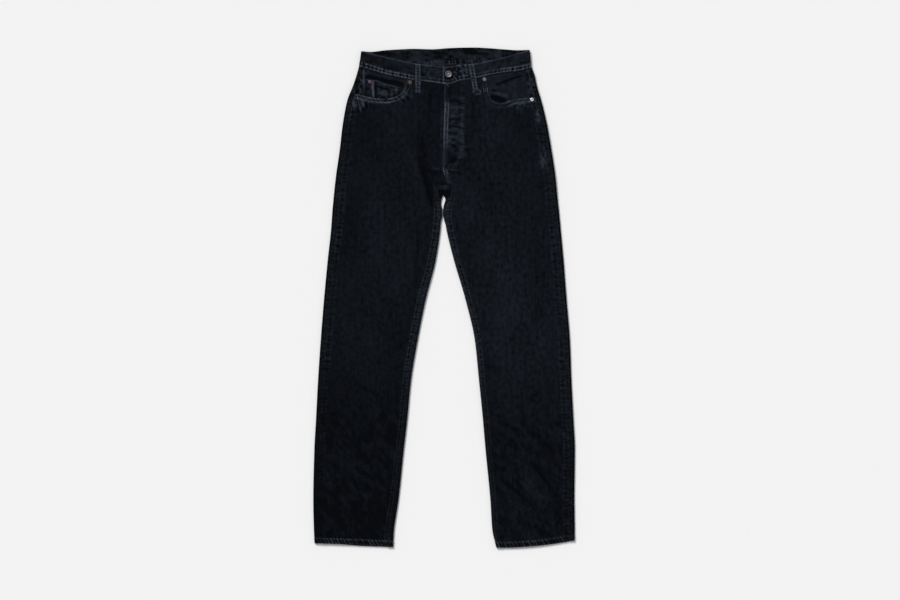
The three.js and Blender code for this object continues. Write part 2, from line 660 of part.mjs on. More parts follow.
function waistband() {
  const stations = bandStations();
  const layer = (depth) =>
    stations.map(({ top, bottom, z, normal }) => {
      const shift = [-normal[0] * depth, -normal[1] * depth];
      return [top, bottom].map(([x, y]) => [x + shift[0], y, z + shift[1]]);
    });
  const ring = toSolid(wallGeometry(layer(0), layer(BAND_WALL)));
  const underlapTop = baseZ(BAND_SIDE_Y) + LAID_HEIGHT + BAND_PROUD;
  const slot = stadium(BUTTONHOLE.from, BUTTONHOLE.to, WAIST_BUTTON.y, BUTTONHOLE.width);
  const cutter = new THREE.ExtrudeGeometry(slot, { depth: 8, bevelEnabled: false, curveSegments: 5 });
  cutter.translate(0, 0, underlapTop + SEAM_GAP / 2);
  return toGeometry(ring.subtract(toSolid(cutter)));
}

// A belt loop on the front: a strip from the waistband's top edge down onto the panel.
function frontLoop({ topX, bottomX, bottomY }) {
  const topY = waist.frontTop(topX) - 1;
  const bandZ = baseZ(BAND_SIDE_Y) + LAID_HEIGHT + BAND_PROUD + SEAM_GAP;
  const arch = 0.7;
  const rows = steps(9).map((share) => {
    const [x, y] = [mix(topX, bottomX, share), mix(topY, bottomY, share)];
    const rest = topZ(x, y) + SEAM_GAP;
    const past = smooth(0.62, 0.86, share);
    const z = mix(bandZ + arch * Math.sin(Math.PI * clamp01(share / 0.62)), rest, past);
    return [-LOOP_WIDTH / 2, LOOP_WIDTH / 2].map((across) => [x + across, y, z]);
  });
  return wallGeometry(
    rows.map((row) => row.map(([x, y, z]) => [x, y, z + LOOP_WALL])),
    rows,
  );
}

function backLoop(x) {
  const [topY, bottomY] = [waist.backTop(x) - 1, waist.backTop(x) - 68];
  const corners = [
    { x: x - LOOP_WIDTH / 2, y: bottomY },
    { x: x + LOOP_WIDTH / 2, y: bottomY },
    { x: x + LOOP_WIDTH / 2, y: topY },
    { x: x - LOOP_WIDTH / 2, y: topY },
  ];
  return plate(corners, 0, BACK_PIECE_WALL);
}

// Back pockets lie under the seat: five sided, wider at the mouth.
const BACK_POCKET = { x: 104, top: 424, bottom: 292, point: 274, topHalf: 76, bottomHalf: 64, tilt: 5 };

function backPocket(side) {
  const { x, top, bottom, point, topHalf, bottomHalf, tilt } = BACK_POCKET;
  const corner = (dx, y, lift) => ({ x: side.out * (x + dx), y: y + lift });
  return plate(
    [
      corner(-topHalf, top, -tilt),
      corner(-bottomHalf, bottom, -tilt),
      corner(0, point, 0),
      corner(bottomHalf, bottom, tilt),
      corner(topHalf, top, tilt),
    ],
    0,
    BACK_PIECE_WALL,
  );
}

function turned(profile, x, y, z, segments = 20) {
  const geometry = new THREE.LatheGeometry(profile.map(([r, h]) => new THREE.Vector2(r, h)), segments);
  return geometry.rotateX(Math.PI / 2).translate(x, y, z);
}

function waistButton() {
  const { x, y, radius, shank, height } = WAIST_BUTTON;
  const bandTop = baseZ(BAND_SIDE_Y) + LAID_HEIGHT + BAND_PROUD;
  const neck = OVERLAP_RISE + SEAM_GAP;
  return turned(
    [
      [0, 0],
      [shank, 0],
      [shank, neck],
      [radius - 1, neck],
      [radius, neck + 1],
      [radius, neck + height - 0.8],
      [radius - 1, neck + height],
      [radius - 2.4, neck + height - 0.4],
      [0, neck + height - 0.4],
    ],
    x,
    y,
    bandTop + SEAM_GAP,
    24,
  );
}

function rivet(x, y, z) {
  const { radius, height, nipple } = RIVET;
  return turned(
    [
      [0, 0],
      [radius, 0],
      [radius, 0.5],
      [radius - 1.2, height - 0.1],
      [nipple, height - 0.3],
      [nipple, height + 0.5],
      [0, height + 0.6],
    ],
    x,
    y,
    z + SEAM_GAP,
    16,
  );
}

function flyButton(index) {
  const { radius, height, x, yFirst, pitch } = FLY_BUTTON;
  const y = yFirst - pitch * index;
  const onShield = topZ(x, y) - FACING_DROP + SEAM_GAP;
  const rim = [[radius, height - 0.6], [radius - 0.8, height]];
  return turned([[0, 0], [radius, 0], ...rim, [0, height]], x, y, onShield);
}

const MATERIALS = {
  denim: { color: 0x14171c, roughness: 0.92, metalness: 0 },
  denimInside: { color: 0x171a1f, roughness: 0.95, metalness: 0 },
  copper: { color: 0x8a5450, roughness: 0.45, metalness: 0.9 },
  steel: { color: 0xb9b9bd, roughness: 0.35, metalness: 0.95 },
};

const jeans = new THREE.Group();

function add(name, geometry, finish) {
  const mesh = new THREE.Mesh(geometry, new THREE.MeshStandardMaterial(MATERIALS[finish]));
  mesh.name = name;
  jeans.add(mesh);
}

for (const [name, side] of Object.entries(SIDES)) {
  add('front_' + name, front(name), 'denim');
  add('back_' + name, back(name), 'denim');
  add('yoke_' + name, yoke(side), 'denim');
  add('facing_' + name, facing(name), 'denim');
  add('back_pocket_' + name, backPocket(side), 'denim');
}
add('coin_pocket', coinPocket(), 'denim');
add('fly_shield', flyShield(), 'denimInside');
add('waistband', waistband(), 'denim');
add('loop_front_right', frontLoop({ topX: -60, bottomX: -60, bottomY: 470 }), 'denim');
add('loop_front_left', frontLoop({ topX: 62, bottomX: 74, bottomY: 470 }), 'denim');
add('loop_back_right', backLoop(-142), 'denim');
add('loop_back_centre', backLoop(4), 'denim');
add('loop_back_left', backLoop(148), 'denim');
add('waist_button', waistButton(), 'steel');
for (const index of Array(FLY_BUTTON.count).keys()) {
  add('fly_button_' + (index + 1), flyButton(index), 'steel');
}

const coinTop = topZ(-140, 480) - FACING_DROP + SEAM_GAP + COIN_WALL;
add('rivet_coin_outer', rivet(-170.5, 496, coinTop), 'copper');
add('rivet_coin_inner', rivet(-109.5, 477, coinTop), 'copper');
add('rivet_pocket_right', rivet(-78, 494.5, topZ(-78, 494.5)), 'copper');
add('rivet_pocket_left', rivet(93, 501.5, topZ(93, 501.5)), 'copper');
add('rivet_side_right', rivet(-177, 457, topZ(-177, 457)), 'copper');
add('rivet_side_left', rivet(202, 455, topZ(202, 455)), 'steel');

export default jeans;
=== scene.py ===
"""Straight leg jeans laid flat on a pale floor: the finished look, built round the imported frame.

Lengths in the tables are millimetres in the frame's axes: +Z up, +Y to the waist, +X to the
wearer's left. Meshes are made in metres. Each cut piece is a closed shell of cloth on its solid's
form, with its seams, creases and wear, and the sewing is made of single stitches laid on it.
"""
import math

import bpy
import numpy as np
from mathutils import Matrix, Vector
from mathutils.bvhtree import BVHTree


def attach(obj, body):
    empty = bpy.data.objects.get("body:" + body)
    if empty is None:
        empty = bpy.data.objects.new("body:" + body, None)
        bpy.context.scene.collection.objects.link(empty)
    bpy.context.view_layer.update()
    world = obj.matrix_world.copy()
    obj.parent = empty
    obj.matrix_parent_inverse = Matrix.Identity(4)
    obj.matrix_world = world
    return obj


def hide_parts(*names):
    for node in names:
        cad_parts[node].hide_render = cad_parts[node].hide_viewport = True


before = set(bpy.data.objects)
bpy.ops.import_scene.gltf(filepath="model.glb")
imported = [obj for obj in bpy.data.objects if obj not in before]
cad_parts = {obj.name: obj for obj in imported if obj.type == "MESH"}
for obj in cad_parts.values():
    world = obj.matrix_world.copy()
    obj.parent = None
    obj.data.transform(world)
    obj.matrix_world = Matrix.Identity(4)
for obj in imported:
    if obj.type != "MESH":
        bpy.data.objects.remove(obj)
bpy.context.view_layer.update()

MM = 0.001
SEED = 41

# Photo frame
PHOTO_WIDTH = 900
PHOTO_CENTRE = (450, 300)
GARMENT_CENTRE = (444.1, 297.65)  # pixels, where the frame's origin is
MM_PER_PIXEL = 2.3
LENS = 110
SENSOR = 36

# Cloth
WALL = 1.2
COIN_WALL = 1.0
SEAM_GAP = 0.12  # the solids keep 0.3, the seams here close up
LAID_HEIGHT = 5.6
EDGE_RADIUS = 3
INNER_RADIUS = 0.8
SEAT_LIFT = 1.6
SEAT_LIFT_START = 212
SEAT_LIFT_END = 262
BACK_PIECE_WALL = SEAT_LIFT - 0.3
STEP = 3.4  # of the cloth's grid along a panel
INSIDE_WEAR = 0.4  # of the wear outside

# Pieces under and on the fronts
UNDER_FRONT = 1.5  # from a front's face to the face of a piece below it
COIN_DROP = 1.2
METAL_GAP = 0.3
FLY_BUTTON_DROP = 1.2
OUTSEAM_PITCH = 9.5  # of the ripples along a seam
INSEAM_PITCH = 8

# Hem
HEM_HEIGHT = 13
HEM_OUTWARD = 0.5
HEM_INWARD = 0.6
HEM_NOMINAL = -570
HEM_SLOPE_START = -400
HEM_DARKER = 0.7

# Waistband
BAND_WALL = 2.2
BAND_SIDE_Y = 530
BAND_PROUD = 0.9
BAND_END = -3.5
UNDERLAP_END = 38
OVERLAP_RISE = BAND_WALL + 0.3
OVERLAP_RAMP = (40, 54)
BAND_LEVEL = SEAT_LIFT + LAID_HEIGHT + BAND_PROUD
BUTTON = (10.3, 513.2)
BUTTONHOLE = (6.5, 29, 1.5)  # from, to, half its width

# Fly
FLY_EDGE_RISE = 0.45
FLY_RISE = 3
FLY_WIDTH = 46
FLY_FADE = 10
FLY_BOTTOM = 312
FLY_BEND_Y = 300
FLY_BUTTON_YS = (470, 437, 404, 371)
FLY_BUTTON_X = 22
CROTCH_Y = 262
NOTCH_Y = 261.5
ROLLED_Y = 261.2
UNROLLED_Y = 261.36


def table(columns, *rows):
    """Rows of numbers with named columns. None marks an empty place."""
    names = columns.split()
    return [{n: v for n, v in zip(names, row) if v is not None} for row in rows]


# Edges of the laid garment, x at each height.
OUTLINE = table(
    "y right_outer right_inner left_inner left_outer",
    (530, -196, -2.51, -2.49, 201),
    (512, -201, -2.51, -2.49, 207.7),
    (489, -208.6, -2.51, -2.49, 212.5),
    (455, -222, -2.51, -2.49, 222.6),
    (420, -229.5, -2.51, -2.49, 231.6),
    (386, -234.6, -2.51, -2.49, 238.7),
    (340, -239.9, -2.51, -2.49, 246.6),
    (282, -248.2, -2.51, -2.49, 255.3),
    (238, -253.2, -2.51, -2.49, 259.8),
    (235, None, -2.51, -2.49, None),
    (232.6, None, -3.2, -0.5, None),
    (230.3, None, -4.3, 1.6, None),
    (225, -254.4, -5.7, 2.9, 261.2),
    (219, None, -6.7, 1.4, None),
    (214, None, -6.7, -0.1, None),
    (209.6, None, -6.1, -1.3, None),
    (205, None, -4.6, -2.1, None),
    (202, -256.6, -4.4, -2.5, 263.7),
    (190, None, -4.4, -3, None),
    (184, None, -4.8, -1.1, None),
    (177, None, -6.8, 0.2, None),
    (168, None, -7.8, 3.2, None),
    (156, -260, -8.8, 5.3, 268),
    (87, -267.5, -19.1, 22.3, 274.4),
    (-5, -276.2, -42.3, 49.2, 281.5),
    (-97, -283.6, -60.7, 70.4, 289),
    (-189, -289.8, -75.9, 80, 292.6),
    (-281, -294.6, -84.9, 89.2, 297.2),
    (-350, -298.4, -92.8, 95.2, 300.5),
    (-465, -300.8, -104.9, 106.3, 299.4),
    (-534, -299.4, -115, 110.8, 300.2),
    (-575, -296.6, -117.6, 120.5, 298.8),
)
# How far each seam has turned from the edge onto the front.
SEAMS = table(
    "y right_out right_in left_in left_out",
    (530, 10, None, None, 8),
    (480, 11.5, None, None, 11),
    (420, 12.5, None, None, 13),
    (340, 13, None, None, 14),
    (260, None, 12.5, 21, None),
    (250, None, 11.3, 19.6, None),
    (238, None, 9.8, 18, None),
    (225, None, 9.4, 12, None),
    (202, None, 9, 10.7, None),
    (156, 13, 8, 6, 14),
    (-5, 13, 10, 5, 14),
    (-281, 11, 9, 4.5, 13),
    (-465, 11, 11, 4.5, 13),
    (-575, 11, 13, 4.5, 13),
)
WAIST = table(
    "x front_top front_bottom back_top back_bottom",
    (-196, 567.5, 531, 567.5, 531),
    (-170, 561.5, 523.5, 565, 529),
    (-134, 553, 512.5, 568.8, 529.5),
    (-101, 545.5, 505.5, 570.8, 530.5),
    (-70, 539, 499.5, 572, 531),
    (-28, 533.7, 494.5, 571, 531),
    (9, 531.3, 489.5, 573.5, 531.8),
    (34, 534.8, 497, 574.6, 533),
    (70, 537.6, 503, 575, 533.5),
    (98, 543.5, 509.5, 573.8, 533),
    (140, 553, 517, 570.6, 531),
    (171, 562, 520.5, 568.8, 529),
    (201, 569.8, 528, 569.8, 528),
)
BAND_FOLD = {"right": (-190.6, -195.8), "left": (197, 201)}  # x of its top and bottom
FLY_LINE = table("y x", (500, 0.8), (400, -1.4), (FLY_BEND_Y, -3.4), (277, 4.2), (CROTCH_Y, 8.2))
SEAT_SEAM = table("y x", (540, 4), (CROTCH_Y, -2.5))
YOKE_SIDE_Y = 467
YOKE_CENTRE_Y = 447
POCKET_MOUTH = {
    "right": [
        (None, 468.5), (-191, 465.8), (-170, 460.5), (-150, 457.5), (-130, 457.5),
        (-114, 460.5), (-101.5, 467), (-93, 476.5), (-87.5, 489), (-84.5, 501.6),
    ],
    "left": [
        (None, 461), (192, 459), (173, 457.4), (156, 454.5), (143, 448.5), (131, 446),
        (118.5, 447.6), (108.5, 454.6), (103, 466), (99.5, 484), (97, 506.6),
    ],
}  # from the outseam to the waistband

# Folds and creases: a ridge, or a trough where the height is negative. The last column, where given, is
# how far a ridge's crest fades and how much painted shade a trough gets.
SOLID_FOLDS = 10  # the table's first rows, which the solids have too
FOLDS = table(
    "x0 y0 x1 y1 width height wear",
    (-58, 380, -17, 200, 13, -1.5),
    (-82, 350, -38, 190, 16, 0.8),
    (-61, 170, -64, 15, 10, -1),
    (36, 300, 62, 160, 18, 0.7),
    (203, -368, 252, -450, 11, -1.3),
    (160, -410, 196, -490, 12, -1.2),
    (184, -380, 226, -470, 13, 0.9),
    (84, -158, 140, -172, 11, -1),
    (-142, -262, -116, -330, 13, -1.1),
    (-240, -470, -150, -452, 14, 0.8),
    (-58, 328, -45, 278, 6, -1.4, 0.06),
    (-48, 294, -26, 206, 6, -1.8, 0.1),
    (-38, 296, -14, 226, 5, 0.87),
    (-59, 145, -59, 96, 3.5, -1.3),
    (-66, 150, -67, 90, 5, 0.72),
    (44, 339, 16, 305, 4.5, -1.3),
    (52, 330, 22, 296, 5, 0.87),
    (26, 290, 60, 272, 4, -0.72),
    (24, 276, 52, 252, 4, -0.72),
    (-14, 282, -58, 300, 5, -0.72),
    (198, -376, 246, -438, 4.4, -1.5, 0.06),
    (139, -422, 207, -481, 4.4, -1.5, 0.06),
    (150, -400, 214, -462, 6, 0.72),
    (87, -65, 120, -93, 4.5, -1.16),
    (92, -149, 127, -169, 4.5, -1.16),
    (98, -110, 150, -122, 6, 0.58),
    (-70, -92, -112, -118, 5, -0.87),
    (-84, -150, -120, -166, 5, -0.72),
    (-250, 120, -214, 92, 6, -0.72),
    (236, 60, 200, 34, 6, -0.72),
    (232, 250, 196, 262, 6, -0.72),
    (-228, 300, -190, 316, 6, -0.72),
    (-200, -200, -150, -226, 7, -0.72),
    (-236, -332, -196, -352, 6, -0.72),
    (228, -214, 186, -236, 7, -0.65),
    (130, -286, 176, -306, 7, -0.72),
    (-128, 430, -96, 392, 7, -0.72),
    (134, 432, 104, 388, 7, -0.72),
    (-30, 480, -36, 400, 6, -0.58),
    (76, 490, 70, 420, 6, -0.72),
    (-30, 297, -8, 295, 3.2, 0.9, 0.1),
    (-34, 290, -5, 287, 3, -1, 0.05),
    (8, 295, 32, 292, 3, 0.9, 0.12),
    (11, 289, 42, 285, 3, -1, 0.05),
    (52, 297, 70, 291, 3, -0.9, 0.08),
)


def mix(a, b, t):
    return a + (b - a) * t


def smooth(start, end, value):
    t = np.clip((np.asarray(value, float) - start) / (end - start), 0, 1)
    return t * t * (3 - 2 * t)


def bell(distance, width):
    return np.exp(-((np.asarray(distance) / width) ** 2))


def ramp(low, high, start, end, value):
    return mix(low, high, smooth(start, end, value))


def between(start, full, fading, end, value):
    """1 from full to fading, and 0 before start and after end."""
    return smooth(start, full, value) * (1 - smooth(fading, end, value))


def spot(x, y, at_x, at_y, width, height=None, power=1):
    """1 at a place, fading round it. A power of 2 gives it a flat middle and a firmer edge."""
    reach = np.hypot((x - at_x) / width, (y - at_y) / (height or width))
    return bell(reach**power, 1)


def stacked(*axes):
    return np.stack(axes, -1)


def curve(rows, key, column):
    """A smooth curve through a table's rows, without overshoot: column against key."""
    points = sorted((row[key], row[column]) for row in rows if column in row)
    xs, ys = np.array(points, float).T
    width = np.diff(xs)
    rise = np.diff(ys) / width
    slope = np.concatenate([rise[:1], rise[:-1] * 0, rise[-1:]])
    for i in range(1, len(rise)):
        a, b = rise[i - 1], rise[i]
        slope[i] = 0 if a * b <= 0 else 2 * a * b / (a + b)

    def at(value):
        value = np.asarray(value, float)
        i = np.clip(np.searchsorted(xs, value, side="right") - 1, 0, len(width) - 1)
        t = np.clip((value - xs[i]) / width[i], 0, 1)
        t2, t3 = t * t, t * t * t
        return (
            (2 * t3 - 3 * t2 + 1) * ys[i]
            + (t3 - 2 * t2 + t) * width[i] * slope[i]
            + (3 * t2 - 2 * t3) * ys[i + 1]
            + (t3 - t2) * width[i] * slope[i + 1]
        )

    return at


def reach_along(points):
    """Distance along a polyline from its start to each of its points."""
    return np.concatenate([[0], np.cumsum(np.linalg.norm(np.diff(points, axis=0), axis=1))])


def chain(points):
    """A function that gives a polyline's point at a distance along it, and its whole length."""
    points = np.asarray(points, float)
    reach = reach_along(points)
    at = lambda distance: stacked(*(np.interp(distance, reach, axis) for axis in points.T))
    return at, reach[-1]


def resample(points, count=None, shares=None):
    """Points at even steps, or at the given shares, along a polyline."""
    at, length = chain(points)
    return at(length * (np.linspace(0, 1, count) if shares is None else np.asarray(shares)))


def rounded(points, count=200, passes=3):
    """A polyline through the given points with its corners softened."""
    line = resample(points, count)
    for _ in range(passes * count // 40):
        line[1:-1] = (line[:-2] + 2 * line[1:-1] + line[2:]) / 4
    return line


def length_of(points):
    return float(reach_along(np.asarray(points, float))[-1])


NOISE_CELLS = 128
NOISE = np.random.default_rng(SEED).random((NOISE_CELLS, NOISE_CELLS)) * 2 - 1


def noise(x, y, size_x, size_y, seed=0):
    """Smooth noise from -1 to 1, with cells of the given size."""
    u = np.asarray(x, float) / size_x + seed * 17.3
    v = np.asarray(y, float) / size_y + seed * 9.1
    i, j = np.floor(u).astype(int), np.floor(v).astype(int)
    fu, fv = u - i, v - j
    fu, fv = fu * fu * (3 - 2 * fu), fv * fv * (3 - 2 * fv)
    cell = lambda a, b: NOISE[(i + a) % NOISE_CELLS, (j + b) % NOISE_CELLS]
    return mix(mix(cell(0, 0), cell(1, 0), fu), mix(cell(0, 1), cell(1, 1), fu), fv)


waist = {c: curve(WAIST, "x", c) for c in ("front_top", "front_bottom", "back_top", "back_bottom")}
fly_line = curve(FLY_LINE, "y", "x")
seat_seam = curve(SEAT_SEAM, "y", "x")


class Side:
    """The edges and seams of one leg. out points from the garment's middle to its outer edge."""

    def __init__(self, name):
        self.name = name
        self.out = -1 if name == "right" else 1
        self.outer = curve(OUTLINE, "y", name + "_outer")
        self.inner = curve(OUTLINE, "y", name + "_inner")
        self.out_turn = curve(SEAMS, "y", name + "_out")
        self.in_turn = curve(SEAMS, "y", name + "_in")
        points = [(self.outseam(y) if x is None else x, y) for x, y in POCKET_MOUTH[name]]
        self.mouth = rounded(points, 160, 2)

    def outseam(self, y):
        return self.outer(y) - self.out * (self.out_turn(y) + SEAM_GAP)

    def inseam(self, y):
        return self.inner(y) + self.out * (self.in_turn(y) + SEAM_GAP)

    def hem_y(self, share):
        """Height of the hem's lower edge, from the inner edge of the leg to the outer one."""
        if self.name == "right":
            return mix(-571, -565, share)
        return mix(-574.9, -558.6, np.clip(share, 0, 1) ** 2.2)


SIDES = {name: Side(name) for name in ("right", "left")}


# Heights of the laid cloth, and what sewing does to it


def base_z(y):
    return SEAT_LIFT * smooth(SEAT_LIFT_START, SEAT_LIFT_END, y)


def fold_height(fold, x, y):
    dx, dy = fold["x1"] - fold["x0"], fold["y1"] - fold["y0"]
    reach = math.hypot(dx, dy)
    along = ((x - fold["x0"]) * dx + (y - fold["y0"]) * dy) / reach
    across = ((x - fold["x0"]) * dy - (y - fold["y0"]) * dx) / reach
    ends = smooth(0, fold["width"], along) * smooth(0, fold["width"], reach - along)
    return fold["height"] * ends * np.exp(-((across / fold["width"]) ** 2) * 2)


def one_fold(x, y, *row):
    """Height of a single fold, from its two ends, its width and its height."""
    return fold_height(table("x0 y0 x1 y1 width height", row)[0], x, y)


def creases(x, y):
    return sum(fold_height(fold, x, y) for fold in FOLDS)


def unevenness(x, y):
    """Slow waves of the laid cloth, and fine drag lines along the leg."""
    slow = 0.34 * noise(x, y, 52, 90, 1) + 0.16 * noise(x, y, 19, 40, 2)
    return slow + 0.07 * noise(x, y, 5.5, 46, 3)


def top_z(x, y):
    """Outer surface of the upper layer, without seams."""
    return base_z(y) + LAID_HEIGHT + creases(x, y) + unevenness(x, y)


def fly_rise(x, y):
    from_edge = x - fly_line(y)
    near_edge = ramp(FLY_EDGE_RISE, 1, 0, 12, from_edge)
    across = near_edge * (1 - smooth(FLY_WIDTH - FLY_FADE, FLY_WIDTH + FLY_FADE, from_edge))
    rise = FLY_RISE * across * smooth(FLY_BOTTOM - 20, FLY_BOTTOM + 30, y)
    for button_y in FLY_BUTTON_YS:
        rise += 0.55 * spot(x, y, FLY_BUTTON_X - 4, button_y, 11, 8.8)
        rise -= 0.3 * spot(x, y, FLY_BUTTON_X, button_y - 16, 9)
    return rise


def edge_round(distance, radius):
    """How far a rounded edge lies below the face at a distance from the edge."""
    t = 1 - np.clip(np.asarray(distance) / radius, 0, 1)
    return radius * (1 - np.sqrt(np.clip(1 - t * t, 0, 1)))


def ticks(along, across, pitch, slant=0.0, seed=0):
    """Uneven ripples along a seam, from -1 to 1."""
    drift = 1.3 * noise(along, across, pitch * 3.1, 60, seed)
    wave = np.sin(2 * math.pi * (along + slant * across) / pitch + drift * 2)
    return wave * (0.65 + 0.35 * noise(along, across, pitch * 2.3, 30, seed + 5))


def sewn(along, distance, near, far, pitch, seed, slant=0.0):
    """Height and wear of a sewn strip: pale rows of stitches with ripples and dark hollows between."""
    wave = 0.75 * ticks(along, distance, pitch, slant, seed)
    wave += 0.4 * ticks(along, distance, pitch * 1.9, slant, seed + 3)
    wave += 0.55 * noise(along, distance, 0.36 * pitch, 3.6, seed + 7)
    inside = between(near - 1.6, near + 1, far - 1, far + 1.6, distance)
    rows = bell(distance - near, 1.7) + bell(distance - far, 1.7)
    return 0.36 * inside * wave, rows * np.clip(0.22 + 0.22 * wave, 0, 1) + 0.24 * inside * wave


# Meshes


def graded(reach, step, ends=(0, 0.35, 0.9, 1.8)):
    """Shares along a length: close together at both ends and evenly spaced between."""
    ends = np.asarray(ends, float)
    count = max(2, int(round((reach - 2 * ends[-1]) / step)) + 1)
    middle = np.linspace(ends[-1], reach - ends[-1], count)
    return np.concatenate([ends[:-1], middle, (reach - ends[:-1])[::-1]]) / reach


def plan_shares(height, width, step, step_across=None):
    """Shares down and across a piece's plan."""
    return np.meshgrid(graded(height, step), graded(width, step_across or step), indexing="ij")


def make_object(name, vertices, faces, material, attributes=None, smooth_angle=40):
    mesh = bpy.data.meshes.new(name)
    mesh.from_pydata((np.asarray(vertices) * MM).tolist(), [], [list(map(int, f)) for f in faces])
    mesh.validate()
    for key, values in (attributes or {}).items():
        values = np.asarray(values, np.float32)
        kind = "FLOAT" if values.ndim == 1 else "FLOAT_VECTOR"
        data = mesh.attributes.new(key, kind, "POINT").data
        data.foreach_set("value" if values.ndim == 1 else "vector", values.ravel())
    mesh.polygons.foreach_set("use_smooth", [True] * len(mesh.polygons))
    mesh.set_sharp_from_angle(angle=math.radians(smooth_angle))
    mesh.materials.append(material)
    mesh.update()
    obj = bpy.data.objects.new(name, mesh)
    bpy.context.scene.collection.objects.link(obj)
    return obj


def shell_faces(rows, columns, keep):
    """Faces of both sides of a wall, and of its rims round every edge that the kept squares leave."""
    count = rows * columns
    index = np.arange(count).reshape(rows, columns)
    a, b = index[:-1, :-1], index[1:, :-1]
    c, d = index[1:, 1:], index[:-1, 1:]
    around = np.pad(keep, 1)
    faces = [
        np.stack([a[keep], b[keep], c[keep], d[keep]], 1),
        np.stack([a[keep], d[keep], c[keep], b[keep]], 1) + count,
    ]
    rims = (
        (keep & ~around[:-2, 1:-1], a, d),
        (keep & ~around[2:, 1:-1], c, b),
        (keep & ~around[1:-1, :-2], b, a),
        (keep & ~around[1:-1, 2:], d, c),
    )
    for free, start, end in rims:
        s, e = start[free], end[free]
        faces.append(np.stack([s, e, e + count, s + count], 1))
    return np.concatenate(faces)


def shell(node, outer, inner, material, wear, tone, grain, keep=None, inside_wear=None):
    """A closed wall of cloth from matching outer and inner grids of points."""
    rows, columns = outer.shape[:2]
    keep = np.ones((rows - 1, columns - 1), bool) if keep is None else keep
    vertices = np.concatenate([outer.reshape(-1, 3), inner.reshape(-1, 3)])
    faces = shell_faces(rows, columns, keep)
    a, b, c, d = vertices[faces].transpose(1, 0, 2)
    if (a * (np.cross(b, c) + np.cross(c, d))).sum() < 0:
        faces = faces[:, ::-1]
    flat = lambda v: np.broadcast_to(v, (rows, columns)).ravel()
    under = INSIDE_WEAR * flat(wear) if inside_wear is None else flat(inside_wear)
    attributes = {
        "wear": np.concatenate([flat(wear), under]),
        "tone": np.tile(flat(tone), 2),
        "grain": np.tile(stacked(*map(flat, grain), flat(0.0)) * MM, (2, 1)),
    }
    used, places = np.unique(faces, return_inverse=True)
    attributes = {key: values[used] for key, values in attributes.items()}
    name = node + "_cloth"
    return make_object(name, vertices[used], places.reshape(faces.shape), material, attributes)


def row_distances(x, y):
    """Distances along each grid line to its four ends: first and last column, first and last row."""
    across = np.hypot(np.diff(x, axis=1), np.diff(y, axis=1))
    down = np.hypot(np.diff(x, axis=0), np.diff(y, axis=0))
    from_first = np.pad(np.cumsum(across, axis=1), ((0, 0), (1, 0)))
    from_top = np.pad(np.cumsum(down, axis=0), ((1, 0), (0, 0)))
    return from_first, from_first[:, -1:] - from_first, from_top, from_top[-1:] - from_top


def edge_distance(x, y):
    return np.minimum.reduce(row_distances(x, y))


# Materials


class Graph:
    """Shader nodes by name, with their inputs given as values or as other sockets."""

    def __init__(self, name):
        self.material = bpy.data.materials.new(name)
        self.material.use_nodes = True
        self.tree = self.material.node_tree
        self.shader = self.tree.nodes["Principled BSDF"]

    def put(self, socket, value):
        if isinstance(value, bpy.types.NodeSocket):
            self.tree.links.new(value, socket)
        elif value is not None:
            socket.default_value = value

    def look(self, **inputs):
        """The material, once the surface's inputs are set by name."""
        for key, value in inputs.items():
            self.put(self.shader.inputs[key.replace("_", " ")], value)
        return self.material

    def node(self, kind, output=0, settings=None, **inputs):
        made = self.tree.nodes.new(kind)
        for key, value in (settings or {}).items():
            setattr(made, key, value)
        for key, value in inputs.items():
            index = int(key[1:]) if key[0] == "i" and key[1:].isdigit() else key.replace("_", " ")
            self.put(made.inputs[index], value)
        return made.outputs[output]

    def math(self, operation, a, b=None, c=None, clamp=False):
        settings = {"operation": operation, "use_clamp": clamp}
        return self.node("ShaderNodeMath", 0, settings, i0=a, i1=b, i2=c)

    def scaled(self, value, factor, plus):
        return self.math("MULTIPLY_ADD", value, factor, plus)

    def attribute(self, name, output="Fac"):
        return self.node("ShaderNodeAttribute", output, {"attribute_name": name})

    def noise(self, vector, scale, detail=2.0, stretch=None):
        if stretch:
            settings = {"operation": "MULTIPLY"}
            vector = self.node("ShaderNodeVectorMath", 0, settings, i0=vector, i1=(*stretch, 1))
        return self.node("ShaderNodeTexNoise", "Fac", None, Vector=vector, Scale=scale, Detail=detail)

    def mix(self, factor, a, b):
        return self.node("ShaderNodeMix", 2, {"data_type": "RGBA"}, i0=factor, i6=a, i7=b)

    def range(self, value, low, high, to_low, to_high):
        sockets = dict(i0=value, i1=low, i2=high, i3=to_low, i4=to_high)
        return self.node("ShaderNodeMapRange", 0, {"clamp": True}, **sockets)

    def bump(self, strength, distance, height):
        return self.node("ShaderNodeBump", 0, None, Strength=strength, Distance=distance, Height=height)


def paint(color, share=1.0):
    return (*(share * part for part in color), 1)


DARK = (0.0017, 0.0023, 0.0036)
FADED = (0.054, 0.066, 0.090)
INSIDE = (0.0040, 0.0052, 0.0072)
INSIDE_WORN = (0.045, 0.050, 0.060)
CELLS_PER_METRE = 1000
TWILL_STEP = 0.00085  # metres from one rib of the weave to the next
TWILL_SLANT = 0.62


